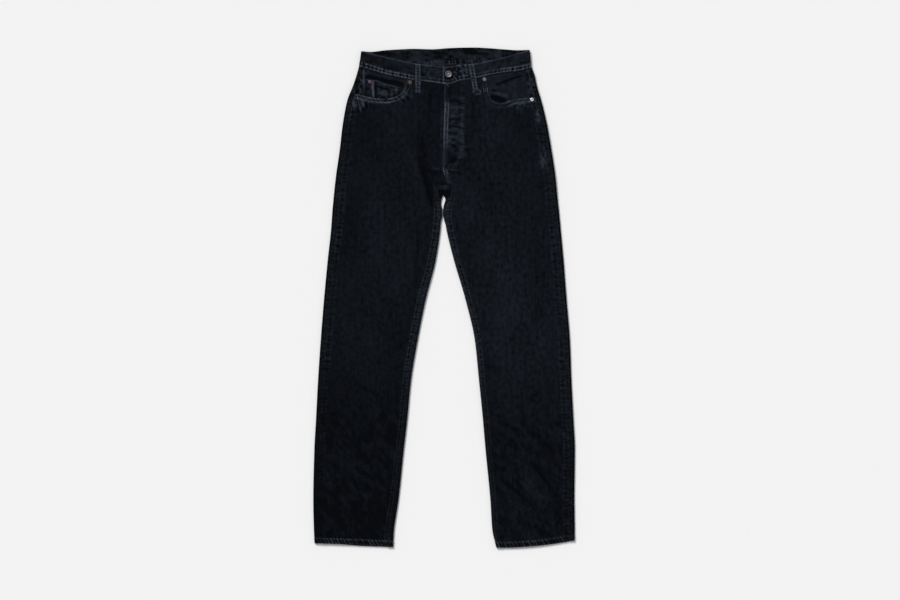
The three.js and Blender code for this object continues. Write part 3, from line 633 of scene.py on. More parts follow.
def denim_material(name, dark, faded):
    g = Graph(name)
    grain, wear, tone = g.attribute("grain", "Vector"), g.attribute("wear"), g.attribute("tone")
    cells = lambda detail, *stretch: g.noise(grain, CELLS_PER_METRE, detail, stretch)
    streak, slub, mottle = cells(3, 0.55, 0.045), cells(2, 0.13, 0.016), cells(2.4, 0.115, 0.09)
    speck, cloud = cells(1, 0.9, 0.7), cells(2, 0.011, 0.006)
    uneven = g.scaled(streak, 0.55, g.math("MULTIPLY", slub, 0.8))
    uneven = g.scaled(cloud, 0.9, g.scaled(mottle, 1.7, uneven))
    light = g.range(uneven, 1.45, 2.5, 0.004, 0.124)
    broken = g.range(g.scaled(mottle, 0.6, speck), 0.55, 1.05, 0.5, 1.25)
    # The wear attribute lightens the cloth towards its faded colour where it is worn, and where it
    # falls below zero it darkens the cloth as painted shade; tone, which scales the cloth's own
    # unevenness, is lowered in places as painted shade too.
    fade_and_shade_share = g.math("MULTIPLY", wear, broken)
    share = g.math("ADD", g.math("MULTIPLY", light, tone), fade_and_shade_share, clamp=True)
    across, along = g.node("ShaderNodeSeparateXYZ", 0, None, Vector=grain).node.outputs[:2]
    phase = g.math("MULTIPLY", g.scaled(along, TWILL_SLANT, across), 2 * math.pi / TWILL_STEP)
    twill = g.scaled(g.math("SINE", phase), 0.5, 0.5)
    height = g.scaled(mottle, 1.5, g.scaled(twill, 0.45, g.math("MULTIPLY", streak, 1.1)))
    return g.look(
        Base_Color=g.mix(share, paint(dark), paint(faded)),
        Roughness=0.86,
        Specular_IOR_Level=0.02,
        Sheen_Weight=0.012,
        Sheen_Roughness=0.5,
        Normal=g.bump(0.75, 0.00032, g.scaled(slub, 1.1, height)),
    )


def thread_material(name, color):
    g = Graph(name)
    patch = g.noise(g.node("ShaderNodeTexCoord", "Object"), 260)
    dim = g.range(patch, 0.35, 0.65, 0, 1)
    return g.look(
        Base_Color=g.mix(dim, paint(color, 0.5), paint(color)), Roughness=0.7, Specular_IOR_Level=0.2
    )


def metal_material(name, color, worn, roughness, scratch):
    g = Graph(name)
    place = g.node("ShaderNodeTexCoord", "Object")
    patch, fine = g.noise(place, 700, 3), g.noise(place, 2600)
    share = g.range(g.scaled(fine, 0.4, patch), 0.55, 0.95, 0, 1)
    # The rim attribute darkens the metal: painted shade round a part's edge, and patina with painted
    # shade in its groove.
    rim = g.math("MULTIPLY", g.attribute("rim"), 0.85)
    return g.look(
        Base_Color=g.mix(rim, g.mix(share, paint(color), paint(worn)), paint(color, 0.3)),
        Metallic=0.85,
        Roughness=g.range(share, 0, 1, roughness, roughness + 0.2),
        Normal=g.bump(scratch, 0.0002, patch),
    )


denim = denim_material("denim", DARK, FADED)
denim_inside = denim_material("denim_inside", INSIDE, INSIDE_WORN)
thread = thread_material("thread", (0.022, 0.027, 0.036))
pale_thread = thread_material("pale_thread", (0.2, 0.215, 0.245))
METALS = {
    "aged_steel": ((0.05, 0.05, 0.056), (0.3, 0.3, 0.31), 0.4, 0.5),
    "bright_steel": ((0.55, 0.54, 0.56), (0.8, 0.8, 0.81), 0.3, 0.5),
    "worn_steel": ((0.1, 0.1, 0.107), (0.34, 0.34, 0.36), 0.46, 0.7),
    "aged_copper": ((0.075, 0.05, 0.055), (0.165, 0.105, 0.115), 0.5, 0.5),
    "worn_copper": ((0.13, 0.1, 0.105), (0.28, 0.22, 0.23), 0.5, 0.5),
    "dark_copper": ((0.022, 0.021, 0.024), (0.06, 0.053, 0.058), 0.6, 0.5),
}  # colour, colour where worn, roughness, depth of the scratches
finishes = {name: metal_material(name, *look) for name, look in METALS.items()}


# Panels
EDGE_PLACES = np.array([0, 0.4, 1, 1.8, 2.9, 4.3, 6, 8, 10, 11.4, 12.8, 14.4, 17, 20])
SEAM_ALLOWANCE = 11.8
FELL = 8.6
MOUTH_HEM = 10.4
FRONT_HEM_ROWS = [15.4, 14.2, 13.5, 13.1, 12.7, 12.2, 10.6, 9, 7, 5, 3.2, 1.8, 0.9, 0.4, 0]
BACK_HEM_ROWS = [15.4, 14.2, 13.5, 13.1, 12.7, 12.2, 10.4, 8.4, 6.2, 4, 2.2, 1, 0.4, 0]
PUCKER = (-134.8, 455.7)  # on the edge of the right front pocket
CROTCH_PULL = (8, 262)
ROPE = (8, 0.55, 3)  # pitch, slant and seed of a hem's roping


def spread(width, middle):
    """Distances across a panel: set places near both edges and an even spread between."""
    low, high = EDGE_PLACES[-1], width - EDGE_PLACES[-1]
    inner = low + (high - low) * np.linspace(0, 1, middle + 2)[1:-1]
    return np.concatenate([EDGE_PLACES, inner, width - EDGE_PLACES[::-1]])


def line_down(x_of_y, start, end, count=120):
    ys = np.linspace(start, end, count)
    return stacked(x_of_y(ys), ys)


def band_edge(x):
    return waist["front_bottom"](x) - 0.2


def hem_shift(side, share, y):
    """How far a row near the hem is moved to follow the hem's line. share is 0 at the inner edge."""
    return (side.hem_y(share) - HEM_NOMINAL) * smooth(HEM_SLOPE_START, HEM_NOMINAL + HEM_HEIGHT, y)


def hem_amount(nominal):
    return 1 - smooth(HEM_HEIGHT - 0.5, HEM_HEIGHT + 0.7, nominal - HEM_NOMINAL)


def hem_relief(x, y, nominal):
    """Roping, pulled lines and the rolled lower edge of a hem."""
    up = nominal - HEM_NOMINAL
    inside = hem_amount(nominal)
    pitch, slant, seed = ROPE
    rope, rubbed = sewn(x, up, 1, HEM_HEIGHT - 1.2, pitch, seed, slant)
    height = inside * HEM_OUTWARD - edge_round(up, 1.1) + rope
    drag = between(HEM_HEIGHT, HEM_HEIGHT + 2, HEM_HEIGHT + 2, HEM_HEIGHT + 16, up) * ticks(x, y, *ROPE)
    rubbed = 1.25 * rubbed + 0.16 * inside * ticks(x, up, *ROPE)
    uneven = ramp(1.25, 0.85, -20, 20, x) * (1 + 0.8 * noise(x, y, 34, 60, 28))
    return height + 0.2 * drag, rubbed * uneven + 0.05 * drag


def front_grid(side):
    """Plan of a front panel: rows from the waist to the hem between its outer and inner edges."""
    crotch_x = lambda y: fly_line(y) + side.out * SEAM_GAP / 2
    mouth = side.mouth[::-1].copy()
    mouth[0, 1] = band_edge(mouth[0, 0])
    mouth_y = mouth[-1, 1]
    outer = np.concatenate([mouth, line_down(side.outseam, mouth_y, HEM_NOMINAL, 400)[1:]])
    fly = line_down(crotch_x, band_edge(0), CROTCH_Y)
    inseam = line_down(side.inseam, NOTCH_Y, HEM_NOMINAL, 300)
    outer_at, outer_length = chain(outer)
    inner_at, inner_length = chain(np.concatenate([fly, inseam]))
    mouth_length, fly_length = length_of(mouth), length_of(fly)
    notch = fly_length + length_of([fly[-1], inseam[0]])
    run = lambda line, start, y: length_of(line_down(line, start, y, 80))
    outer_s = lambda y: mouth_length + run(side.outseam, mouth_y, y)
    fly_s = lambda y: run(crotch_x, band_edge(0), y)
    leg_s = lambda y: notch + run(side.inseam, NOTCH_Y, y)
    # Matching places on the outer and the inner edge, which the rows join
    low = {"right": 415, "left": 378}[side.name]
    shares = np.linspace(0, 1, 9)
    keys = [(mouth_length * s, fly_s(mix(low, band_edge(0), (1 - s) ** 1.25))) for s in shares]
    keys += [(outer_s(y), fly_s(v)) for y, v in ((400, 345), (355, FLY_BEND_Y + 4), (310, 284))]
    keys += [(outer_s(275), fly_length), (outer_s(250), notch), (outer_s(222), leg_s(222))]
    keys += [(outer_s(y), leg_s(y)) for y in (100, -100, -300, HEM_SLOPE_START, -540)]
    keys += [(outer_length, inner_length)]
    us, vs = np.array(keys).T
    steps = np.concatenate([[0], np.cumsum((np.diff(us) + np.diff(vs)) / 2)])
    total = steps[-1]
    rows = [0, 0.4, 1, 1.9, *np.linspace(3.4, total - 17, int((total - 20) / STEP))]
    rows += [total - up for up in FRONT_HEM_ROWS]
    at_us = np.interp(rows, steps, us)
    starts, ends = outer_at(at_us), inner_at(np.interp(rows, steps, vs))
    widths = np.linalg.norm(ends - starts, axis=1)
    shares = np.array([spread(w, 52) / w for w in widths])
    x, y = mix(starts[:, :1], ends[:, :1], shares), mix(starts[:, 1:], ends[:, 1:], shares)
    # The rows beside the mouth bend with the waistband's edge
    fan = np.clip(1 - at_us / mouth_length, 0, 1)[:, None]
    chord = mix(waist["front_bottom"](starts[:, :1]), waist["front_bottom"](0), shares)
    nominal = y + (waist["front_bottom"](x) - chord) * fan**3
    low_rows = nominal < HEM_SLOPE_START
    y = nominal + np.where(low_rows, hem_shift(side, 1 - shares, nominal), 0)
    x = np.where(nominal < -300, mix(side.outseam(y), side.inseam(y), shares), x)
    on_mouth = (at_us < mouth_length)[:, None] & np.ones_like(x, bool)
    return x, y, nominal, shares * widths[:, None], (1 - shares) * widths[:, None], on_mouth


def mouth_distance(side, x, y):
    """Distance from points to the mouth of the front pocket."""
    line = side.mouth[::4]
    return np.hypot(x[..., None] - line[:, 0], y[..., None] - line[:, 1]).min(axis=-1)


def leg_tone(side, x, y):
    """How much the cloth's own unevenness shows: more on the thigh, less at the shin."""
    middle = (side.outer(y) + side.inner(y)) / 2
    centre = bell(x - middle + side.out * 12, 70)
    if side.name == "right":
        down = ramp(0.34, 1.05, -330, -50, y) * ramp(0.3, 1, -500, -400, y)
        across = 0.65 + 0.38 * centre
    else:
        down = ramp(0.52, 1.05, -390, -90, y)
        across = 0.87 + 0.3 * centre
    return (down - 0.16 * smooth(180, 330, y)) * across * (1 + 0.16 * noise(x, y, 38, 85, 4))


def front(name):
    side = SIDES[name]
    x, y, nominal, from_outer, from_inner, on_mouth = front_grid(side)
    z = top_z(x, y)
    # Outseam, with its allowance pressed open underneath
    below_mouth = 1 - on_mouth
    allowance = below_mouth * (1 - smooth(SEAM_ALLOWANCE - 0.7, SEAM_ALLOWANCE + 0.9, from_outer))
    height, rubbed = sewn(y, from_outer, 1, SEAM_ALLOWANCE, OUTSEAM_PITCH, 1)
    z += 0.34 * allowance + below_mouth * height
    faint = ramp(0.25 if name == "right" else 0.75, 1, -420, 0, y)
    wear = below_mouth * rubbed * faint * (0.34 + 0.2 * noise(x, y, 40, 30, 17))
    # Crease troughs add painted shade here.
    wear += side_marks(name, x, y) + shin_mottle(x, y) + crease_fade_and_shade(x, y)
    # Mouth of the pocket
    near_mouth = mouth_distance(side, x, y)
    faced = 1 - smooth(MOUTH_HEM - 0.5, MOUTH_HEM + 1.1, near_mouth)
    height, rubbed = sewn(x - y * side.out, near_mouth, 1.2, MOUTH_HEM - 1, 8, 2)
    z += 0.38 * faced + height
    crisp = ramp(0.14, 1, 132, 156, x)
    if name == "right":
        crisp = (1 - 0.9 * spot(x, y, *PUCKER, 5)) * ramp(0.4, 1, -100, -124, x)
    wear += 2.1 * crisp * rubbed * (1 + 0.5 * noise(x, y, 11, 11, 18)) + 0.08 * faced * crisp
    wear += 0.34 * (1 - crisp) * bell(near_mouth - 1, 1.1) + pocket_scuffs(name, x, y)
    # Fly line above the crotch, and the felled inseam below it
    above = smooth(CROTCH_Y - 4, CROTCH_Y + 6, y)
    fell = (1 - above) * (1 - smooth(FELL - 0.6, FELL + 0.9, from_inner))
    height, rubbed = sewn(y, from_inner, 1, FELL, INSEAM_PITCH, 4)
    z += 0.42 * fell + (1 - above) * height
    wear += (1 - above) * rubbed * ramp(0.2, 0.75, -330, -60, y) * ramp(1, 0.3, 190, 225, y)
    if name == "left":
        height, rubbed = fly_marks(x, y, from_inner)
        z += fly_rise(x, y) + above * height
        wear += above * rubbed
    else:
        z += 0.25 * above * (1 - smooth(7, 9, from_inner))
        beside_fly = bell(from_inner - 4, 2.4) * between(325, 350, 400, 440, y)
        wear += 0.3 * beside_fly * np.clip(noise(x, y, 3, 6, 44) + 0.2, 0, 1)
    # Seat of the crotch: short gathered creases that fan from its lowest point
    pull_x, pull_y = CROTCH_PULL
    angle = np.arctan2(y - pull_y, x - pull_x)
    fan = np.sin(angle * 9 + noise(x, y, 20, 20, 8)) * smooth(8, 20, np.hypot(x - pull_x, y - pull_y))
    z += 0.3 * spot(x, y, pull_x, pull_y + 6, 42) * fan
    # Under the waistband, and the hem
    below_band = band_edge(x) - y
    z += 0.16 * ticks(x, y, 9, 0, 9) * bell(below_band - 6, 7) - edge_round(below_band, 0.6)
    hem_height, hem_wear = hem_relief(x, y, nominal)
    hem = hem_amount(nominal)
    z += hem_height - edge_round(from_inner, 0.7)
    z -= edge_round(np.where(on_mouth, from_outer, from_outer * 1.2), 0.7)
    inner_z = z - WALL - hem * (HEM_OUTWARD + HEM_INWARD)
    tone = leg_tone(side, x, y) * (1 - HEM_DARKER * hem)
    if name == "left":
        on_fly = smooth(8, 12, from_inner) * (1 - smooth(0, 4, x - j_stitch_x(y))) * smooth(300, 312, y)
        tone *= 1 - 0.42 * on_fly * (1 - between(350, 366, 440, 452, y))
    outer, inner = stacked(x, y, z), stacked(x, y, inner_z)
    return shell("front_" + name, outer, inner, denim, wear + hem_wear, tone, (x, y))


SIDE_MARKS = {
    "right": [(-219, 421, 6, 15, 0.3)],
    "left": [(216, 419, 6, 17, 0.75), (229, 316, 9, 20, 0.6)],
}  # centre, half its width and height, strength


def side_marks(name, x, y):
    """Rubbed spots on the outseam below the pocket."""
    strokes = 0.3 + 0.8 * noise(x, y, 2.6, 6, 40)
    return sum(strength * strokes * spot(x, y, *place) for *place, strength in SIDE_MARKS[name])


def shin_mottle(x, y):
    """Short creases, pale and dark, on the lower legs."""
    slanted = 0.03 * noise(x + y, x - 0.6 * y, 12, 22, 41)
    upright = 0.024 * noise(x, y, 6, 15, 42) + 0.026 * noise(x, y, 3.6, 5, 43)
    return (slanted + upright) * (1 - smooth(-320, -180, y))


def pocket_scuffs(name, x, y):
    """Rubbed places of a front near its pocket: a pucker and strokes, and the ring under a loop."""
    if name == "left":
        strokes = noise(x, y - 0.14 * x, 9, 2.3, 45) + 0.3 * noise(x, y, 3, 3, 46)
        return loop_ring(x, y) + 0.5 * spot(x, y, 172, 446, 25, 13, 2) * np.clip(strokes, -0.1, 1)
    outer_end = np.clip(noise(x + 0.2 * y, y, 2.4, 17, 38) + 0.1, -0.25, 1)
    outer_end = outer_end * spot(x, y, -194, 446, 20, 17, 2)
    inner_end = np.clip(noise(x + 0.7 * y, y - 0.7 * x, 3.2, 12, 50), -0.2, 1)
    inner_end = inner_end * spot(x, y, -97, 464, 20, 17, 2)
    from_pucker = np.hypot(x - PUCKER[0], y - PUCKER[1])
    pucker = 0.34 * bell(from_pucker - 7.5, 2) - 0.5 * bell(from_pucker, 4.2)
    return pucker + 1.25 * outer_end + 0.5 * inner_end


def loop_ring(x, y):
    """The oval line rubbed round the lower end of the left front loop."""
    oval = np.hypot((x - 75.5) / 8.6, (y - 473) / 4.8)
    return 0.8 * bell(oval - 1, 0.17) - 0.14 * bell(oval, 0.6)


def fly_marks(x, y, from_edge):
    """Ridge, cross wrinkles and sewn curve of the buttoned fly, as height and wear."""
    from_curve = x - j_stitch_x(y)
    on_ridge = between(-1, 2, 10, 15, from_edge) * between(338, 358, 440, 462, y)
    breaks = ticks(y, x, 17, 0.2, 6)
    lines = bell(from_edge - 3, 1.7) + 0.7 * bell(from_edge - 10.6, 1.7)
    lines -= 0.3 * bell(from_edge - 14.6, 1.4)
    wear = on_ridge * np.clip(0.2 + 0.34 * lines + 0.2 * breaks + 0.16 * noise(x, y, 3.5, 7, 7), 0, 1)
    wear += 0.22 * bell(from_edge - 1, 1.8) * (1 - 0.6 * on_ridge)
    wear += 0.13 * bell(from_edge - 5, 5) * (1 - smooth(345, 360, y))
    # Bands across the placket, between its buttons
    placket = smooth(10, 16, from_edge) * (1 - smooth(-3, 2, from_curve))
    placket = placket * between(318, 345, 446, 470, y)
    bands = 0.85 * noise(x, y + 0.12 * x, 15, 4.2, 8) + 0.55 * noise(x, y - 0.1 * x, 9, 8, 9)
    wear += placket * np.clip(0.09 + 0.26 * bands, -0.04, 0.4)
    # Pulls beside the curve, and its stitches
    pulls = noise(x + 0.7 * y, y - 0.7 * x, 16, 5, 29) * bell(from_curve + 4, 12)
    low = between(286, 300, 340, 360, y)
    wear += 0.22 * low * np.clip(pulls, -0.3, 1)
    stitched, marks = sewn(y, np.abs(from_curve) + 1, 1, 6, 8, 10)
    on_curve = smooth(300, 330, y)
    wear += on_curve * marks * ramp(0.5, 0.3, 430, 455, y) * (from_curve < 4)
    height = 0.3 * on_ridge * breaks + 0.4 * placket * bands + 0.5 * low * pulls + on_curve * stitched
    return height, wear


def crease_fade_and_shade(x, y):
    """Creases fade on their crests, and their troughs are darkened as painted shade."""
    return sum(fold_height(f, x, y) / abs(f["height"]) * f.get("wear", 0.03) for f in FOLDS)


def j_stitch_x(y):
    """The fly's outer row of stitches, which curves in to the crotch."""
    turn = np.clip((np.asarray(y, float) - 298) / 56, 0, 1)
    return mix(2.5, 45.6, np.sqrt(1 - (1 - turn) ** 2))


BACK_HEM_SAG = {"right": 2.2, "left": 0}  # how far the back shows below the front's hem
HOLLOW = (-1, 268, -2, 206, 11, -3.2)  # a fold where the thighs meet


def back_profile(side, y, zone, share, hem):
    """Outer and inner x and z of one column of a back panel, for all its rows."""
    out = side.out
    inward = WALL + hem * (HEM_OUTWARD + HEM_INWARD)
    base = base_z(y)
    outer_x = side.outer(y) + out * hem * HEM_OUTWARD
    inner_x = side.inner(y) - out * hem * HEM_OUTWARD
    outer_turn, inner_turn = outer_x - out * EDGE_RADIUS, inner_x + out * EDGE_RADIUS
    turn = side.in_turn(y)
    rolled = y <= (ROLLED_Y + UNROLLED_Y) / 2
    half_round = math.pi * EDGE_RADIUS
    unrolled_length = half_round + turn - EDGE_RADIUS
    seat_end = seat_seam(y) + out * (SEAM_GAP / 2 + unrolled_length)
    under_end = np.where(rolled, inner_turn, seat_end)
    thigh = lambda x: top_z(x, y) + one_fold(x, y, *HOLLOW)

    def flat(x):
        return x, base + 0.03 * share, x, base + inward

    def top(x, z):
        z = z + hem * HEM_OUTWARD
        return x, z, x, z - inward

    def arc(centre, direction, angle, z):
        high = z + hem * HEM_OUTWARD
        middle, half = (high + base) / 2, (high - base) / 2
        places = []
        for depth in (0, inward):
            radius = np.maximum(EDGE_RADIUS - depth, INNER_RADIUS)
            places.append(centre + direction * radius * np.cos(angle))
            places.append(middle + (half - depth) * np.sin(angle))
        return places

    def choose(when_rolled, when_flat):
        return [np.where(rolled, a, b) for a, b in zip(when_rolled, when_flat)]

    angle = math.pi / 2 - math.pi * share
    if zone == "outer_top":
        x = mix(outer_x - out * side.out_turn(y), outer_turn, share)
        return top(x, top_z(x, y))
    if zone == "outer_round":
        return arc(outer_turn, out, angle, top_z(outer_turn, y))
    if zone == "under":
        return flat(mix(outer_turn, under_end, share))
    if zone == "inner_round":
        around = arc(inner_turn, -out, -angle, thigh(inner_turn))
        return choose(around, flat(under_end - out * half_round * share))
    x = mix(inner_turn, inner_x + out * turn, share)
    return choose(top(x, thigh(x)), flat(under_end - out * mix(half_round, unrolled_length, share)))


ZONES = [("outer_top", s) for s in (0, 0.04, 0.1, 0.2, 0.34, 0.48, 0.62, 0.76, 0.88)]
ZONES += [("outer_round", s) for s in np.linspace(0, 1, 12)[:-1]]
ZONES += [("under", s) for s in np.linspace(0, 1, 25)[:-1]]
ZONES += [("inner_round", s) for s in np.linspace(0, 1, 12)[:-1]]
ZONES += [("inner_top", s) for s in (0, 0.12, 0.26, 0.4, 0.54, 0.68, 0.82, 0.92, 0.97, 1)]


ZONE_NAMES = np.array([zone for zone, _ in ZONES])
ZONE_SHARES = np.array([share for _, share in ZONES])


def in_zone(name):
    return (ZONE_NAMES == name).astype(float)


def across_share(side, zone, share, y):
    if zone in ("outer_top", "outer_round"):
        return 0.0
    return share * (1 - EDGE_RADIUS / abs(float(side.outer(y)))) if zone == "under" else 1.0


def yoke_seam(share):
    return mix(YOKE_SIDE_Y, YOKE_CENTRE_Y, share)


def profile_grid(side, rows_of, hem):
    """Grids of a back piece's outer and inner points, column by column."""
    outer, inner = [], []
    for zone, share in ZONES:
        y = rows_of(zone, share)
        x0, z0, x1, z1 = back_profile(side, y, zone, share, hem)
        outer.append(stacked(x0, y, z0))
        inner.append(stacked(x1, y, z1))
    return np.stack(outer, 1), np.stack(inner, 1)


def length_around(grid):
    steps = np.linalg.norm(np.diff(grid, axis=1), axis=2)
    return np.pad(np.cumsum(steps, axis=1), ((0, 0), (1, 0)))


def side_relief(outer, inner, side, amount):
    """Ripples and wear of the back piece where it turns round the edges onto the front, with painted
    shade on its outer round and in the lap where the thighs part.
    """
    x, y = outer[..., 0], outer[..., 1]
    on_top, on_round = in_zone("outer_top"), in_zone("outer_round")
    near_seam = np.where(ZONE_NAMES == "outer_top", ZONE_SHARES, 1) * side.out_turn(y)
    rolled_over = on_top + on_round * np.clip(1 - 1.6 * ZONE_SHARES, 0, 1)
    height, rubbed = sewn(y, near_seam, 1, 8.5, OUTSEAM_PITCH, 11)
    lift = amount * (rolled_over * height + 0.3 * (1 - smooth(3, 6, near_seam)) * on_top)
    lift -= on_top * edge_round(near_seam, 0.7)
    shin = ramp(0.2 if side.name == "right" else 0.7, 1, -420, 0, y)
    wear = rolled_over * (0.34 * amount * rubbed * shin + side_marks(side.name, x, y))
    # Darker where the outer round turns over from the top: partly painted shade on the turned edge,
    # partly the cloth's own darker edge.
    wear -= 0.05 * on_round * (1 - ZONE_SHARES)
    # The inner edge, sewn below the crotch, and the lap where the thighs part
    on_top, on_round = in_zone("inner_top"), in_zone("inner_round")
    rolled = 1 - smooth(258, 262.2, y)
    turned_in = on_top + on_round * np.clip(1.6 * ZONE_SHARES - 0.6, 0, 1)
    to_inseam = np.where(ZONE_NAMES == "inner_top", 1 - ZONE_SHARES, 1) * side.in_turn(y)
    height, rubbed = sewn(y, to_inseam, 0.8, 5, INSEAM_PITCH, 12)
    lift += rolled * turned_in * height
    below = 1 - smooth(222, 240, y)
    along_leg = ramp(0.3, 1, -330, -60, y) + 0.5 * (1 - smooth(-560, -535, y))
    pale_round = 0.3 * on_round * bell(ZONE_SHARES - 0.8, 0.16)
    wear += below * along_leg * (0.7 * turned_in * rubbed + pale_round)
    lap = rolled * (1 - below) * turned_in
    # The lap is a little darker all over and more so below 250, as painted shade in the hollow where
    # the thighs part, with a lighter spot near its top.
    wear += lap * (0.26 * spot(x, y, -1.5, 256, 8) - 0.02 - 0.15 * smooth(250, 243, y))
    lift -= on_top * rolled * edge_round(to_inseam, 0.7)
    outer[..., 2] += lift
    inner[..., 2] += lift
    return wear


def back(name):
    side = SIDES[name]
    rows = [467, 466.5, 465.6, *np.linspace(464, 263.6, 52), UNROLLED_Y, ROLLED_Y]
    rows += list(np.linspace(260.4, HEM_NOMINAL + 17, int((260.4 - HEM_NOMINAL - 17) / STEP)))
    nominal = np.array(rows + [HEM_NOMINAL + up for up in BACK_HEM_ROWS])

    def rows_of(zone, share):
        part = np.array([across_share(side, zone, share, y) for y in nominal])
        offset = (yoke_seam(part) - YOKE_SIDE_Y) * smooth(330, 455, nominal) - 0.15 * (nominal > 466)
        sag = BACK_HEM_SAG[name] * smooth(0.3, 0.6, part)
        sag = sag * smooth(HEM_SLOPE_START, HEM_NOMINAL + HEM_HEIGHT, nominal)
        return nominal + offset + hem_shift(side, 1 - part, nominal) - sag

    outer, inner = profile_grid(side, rows_of, hem_amount(nominal))
    x, y = outer[..., 0], outer[..., 1]
    wear = side_relief(outer, inner, side, smooth(474, 464, y))
    level = nominal[:, None] + 0 * y
    hem = hem_amount(level)
    hem_height, hem_wear = hem_relief(x, y, level)
    wear += hem_wear * np.where(ZONE_NAMES == "under", 0.7, 1)
    facing_up = np.isin(ZONE_NAMES, ("outer_top", "inner_top"))
    for grid in (outer, inner):
        grid[..., 2] += (hem_height - hem * HEM_OUTWARD) * facing_up
        grid[..., 2] = np.maximum(grid[..., 2], 0.0)
    # Both rounded edges keep 0.4 of the tone: partly painted shade on the turned edges, partly their
    # darker cloth.
    tone = leg_tone(side, x, y) * np.where(np.isin(ZONE_NAMES, ("outer_round", "inner_round")), 0.4, 1)
    grain = (length_around(outer) * side.out, y)
    return shell("back_" + name, outer, inner, denim, wear, tone * (1 - HEM_DARKER * hem), grain)


def yoke(name):
    side = SIDES[name]
    shares = [0, 0.006, 0.015, 0.03, *np.linspace(0.055, 0.945, 18), 0.97, 0.985, 0.994, 1]

    def rows_of(zone, share):
        low = float(yoke_seam(across_share(side, zone, share, YOKE_SIDE_Y))) + 0.15
        if zone == "outer_round":
            high = waist["back_bottom"](side.outer(BAND_SIDE_Y))
        else:
            x = back_profile(side, np.array([BAND_SIDE_Y]), zone, share, 0)[0]
            high = waist["front_bottom" if zone == "outer_top" else "back_bottom"](x)
        return mix(float(np.ravel(high)[0]) - 0.2, low, np.array(shares))

    outer, inner = profile_grid(side, rows_of, 0)
    x, y, z = outer[..., 0], outer[..., 1], outer[..., 2]
    wear = side_relief(outer, inner, side, 0.8)
    wear += 0.24 * noise(x, y, 6, 5, 35) * (z > 5)
    return shell("yoke_" + name, outer, inner, denim, wear, 1.1, (length_around(outer) * side.out, y))


def flat_piece(node, x, y, z, wall, material, wear, tone=1.0, radius=0.5):
    """A piece of cloth over a plan grid, with rounded edges."""
    nearest = edge_distance(x, y)
    top = z - edge_round(nearest, radius)
    low = z - wall + edge_round(nearest, min(radius, wall * 0.4)) * 0.6
    return shell(node, stacked(x, y, top), stacked(x, y, low), material, wear, tone, (x, y))


FACING_CORNER = {"right": (-66, 440), "left": (84, 428)}  # x and y of the inner lower corner
FACING_TILT = 11


def facing(name):
    side = SIDES[name]
    inner_x, bottom = FACING_CORNER[name]
    down, across = plan_shares(90, 130, 2)
    side_y = mix(band_edge(side.outseam(BAND_SIDE_Y)), bottom + FACING_TILT, down)
    x = mix(side.outseam(side_y), inner_x, across)
    y = mix(band_edge(x), bottom + FACING_TILT * (1 - across), down)
    to_seam = row_distances(x, y)[0]
    z = top_z(x, y) - UNDER_FRONT + 0.2 * (1 - smooth(11, 13, to_seam))
    # Crease troughs darken the facing here too: painted shade.
    wear = crease_fade_and_shade(x, y) + 0.05 * (1 + noise(x, y, 9, 12, 13))
    if name == "left":
        gape = one_fold(x, y, 104, 463, 146, 449, 10, -2.2)
        fold = one_fold(x, y, 100, 476, 150, 461, 6, 0.5)
        crease = one_fold(x, y, 117, 488.5, 180, 511, 3.4, -1.6) * (0.8 + 0.5 * noise(x, y, 15, 15, 39))
        dimple = spot(x, y, 113, 475, 7, 3)
        z += gape + fold + crease - dimple
        # The fold's crest fades; the gape, the crease and the dimple are darkened in colour and tone as
        # painted shade.
        wear += 0.4 * fold + 0.1 * gape + 0.16 * crease - 0.3 * dimple
        tone = 1 + 0.5 * crease - 0.7 * dimple
        ridge, rubbed = 0.4 * bell(to_seam - 2.5, 1.5), 0.22
    else:
        # A trough under the waistband, darkened in colour and tone: painted shade where the band stands
        # proud over the facing.
        mouth = one_fold(x, y, -182, 508.5, -92, 488.5, 5.6, -1.4)
        z += mouth
        wear += 0.3 * mouth
        tone = 1 + 0.6 * mouth
        ridge, rubbed = bell(x + 184.3, 1.5) * smooth(474, 500, y), 0.5
    wear += ridge * (0.62 + 0.2 * ticks(y, x, 8, 0, 14))
    wear += rubbed * (1 - smooth(9, 13, to_seam)) * noise(x, y, 3.4, 5, 19)
    return flat_piece("facing_" + name, x, y, z, WALL, denim, wear, np.clip(tone, 0, 1))


COIN_TOP = [
    (-179.5, 502), (-166, 500.5), (-152, 499), (-137, 491.5), (-120, 488), (-108, 484.5),
    (-101.5, 483),
]
COIN_BOTTOM = [
    (-181, 465.2), (-170, 462.2), (-150, 459.2), (-130, 459.1), (-114.5, 462.2), (-104, 467.8),
    (-99, 475),
]
COIN_PULLS = [
    (-140, 493, -119, 485, 3.6, 0.22), (-158, 464, -132, 478, 3.6, 0.2),
    (-128, 474, -108, 480, 3.6, 0.26), (-150, 486, -122, 474, 3.6, -0.2),
    (-146, 468, -116, 466, 3.6, 0.16),
]  # as the rows of one_fold


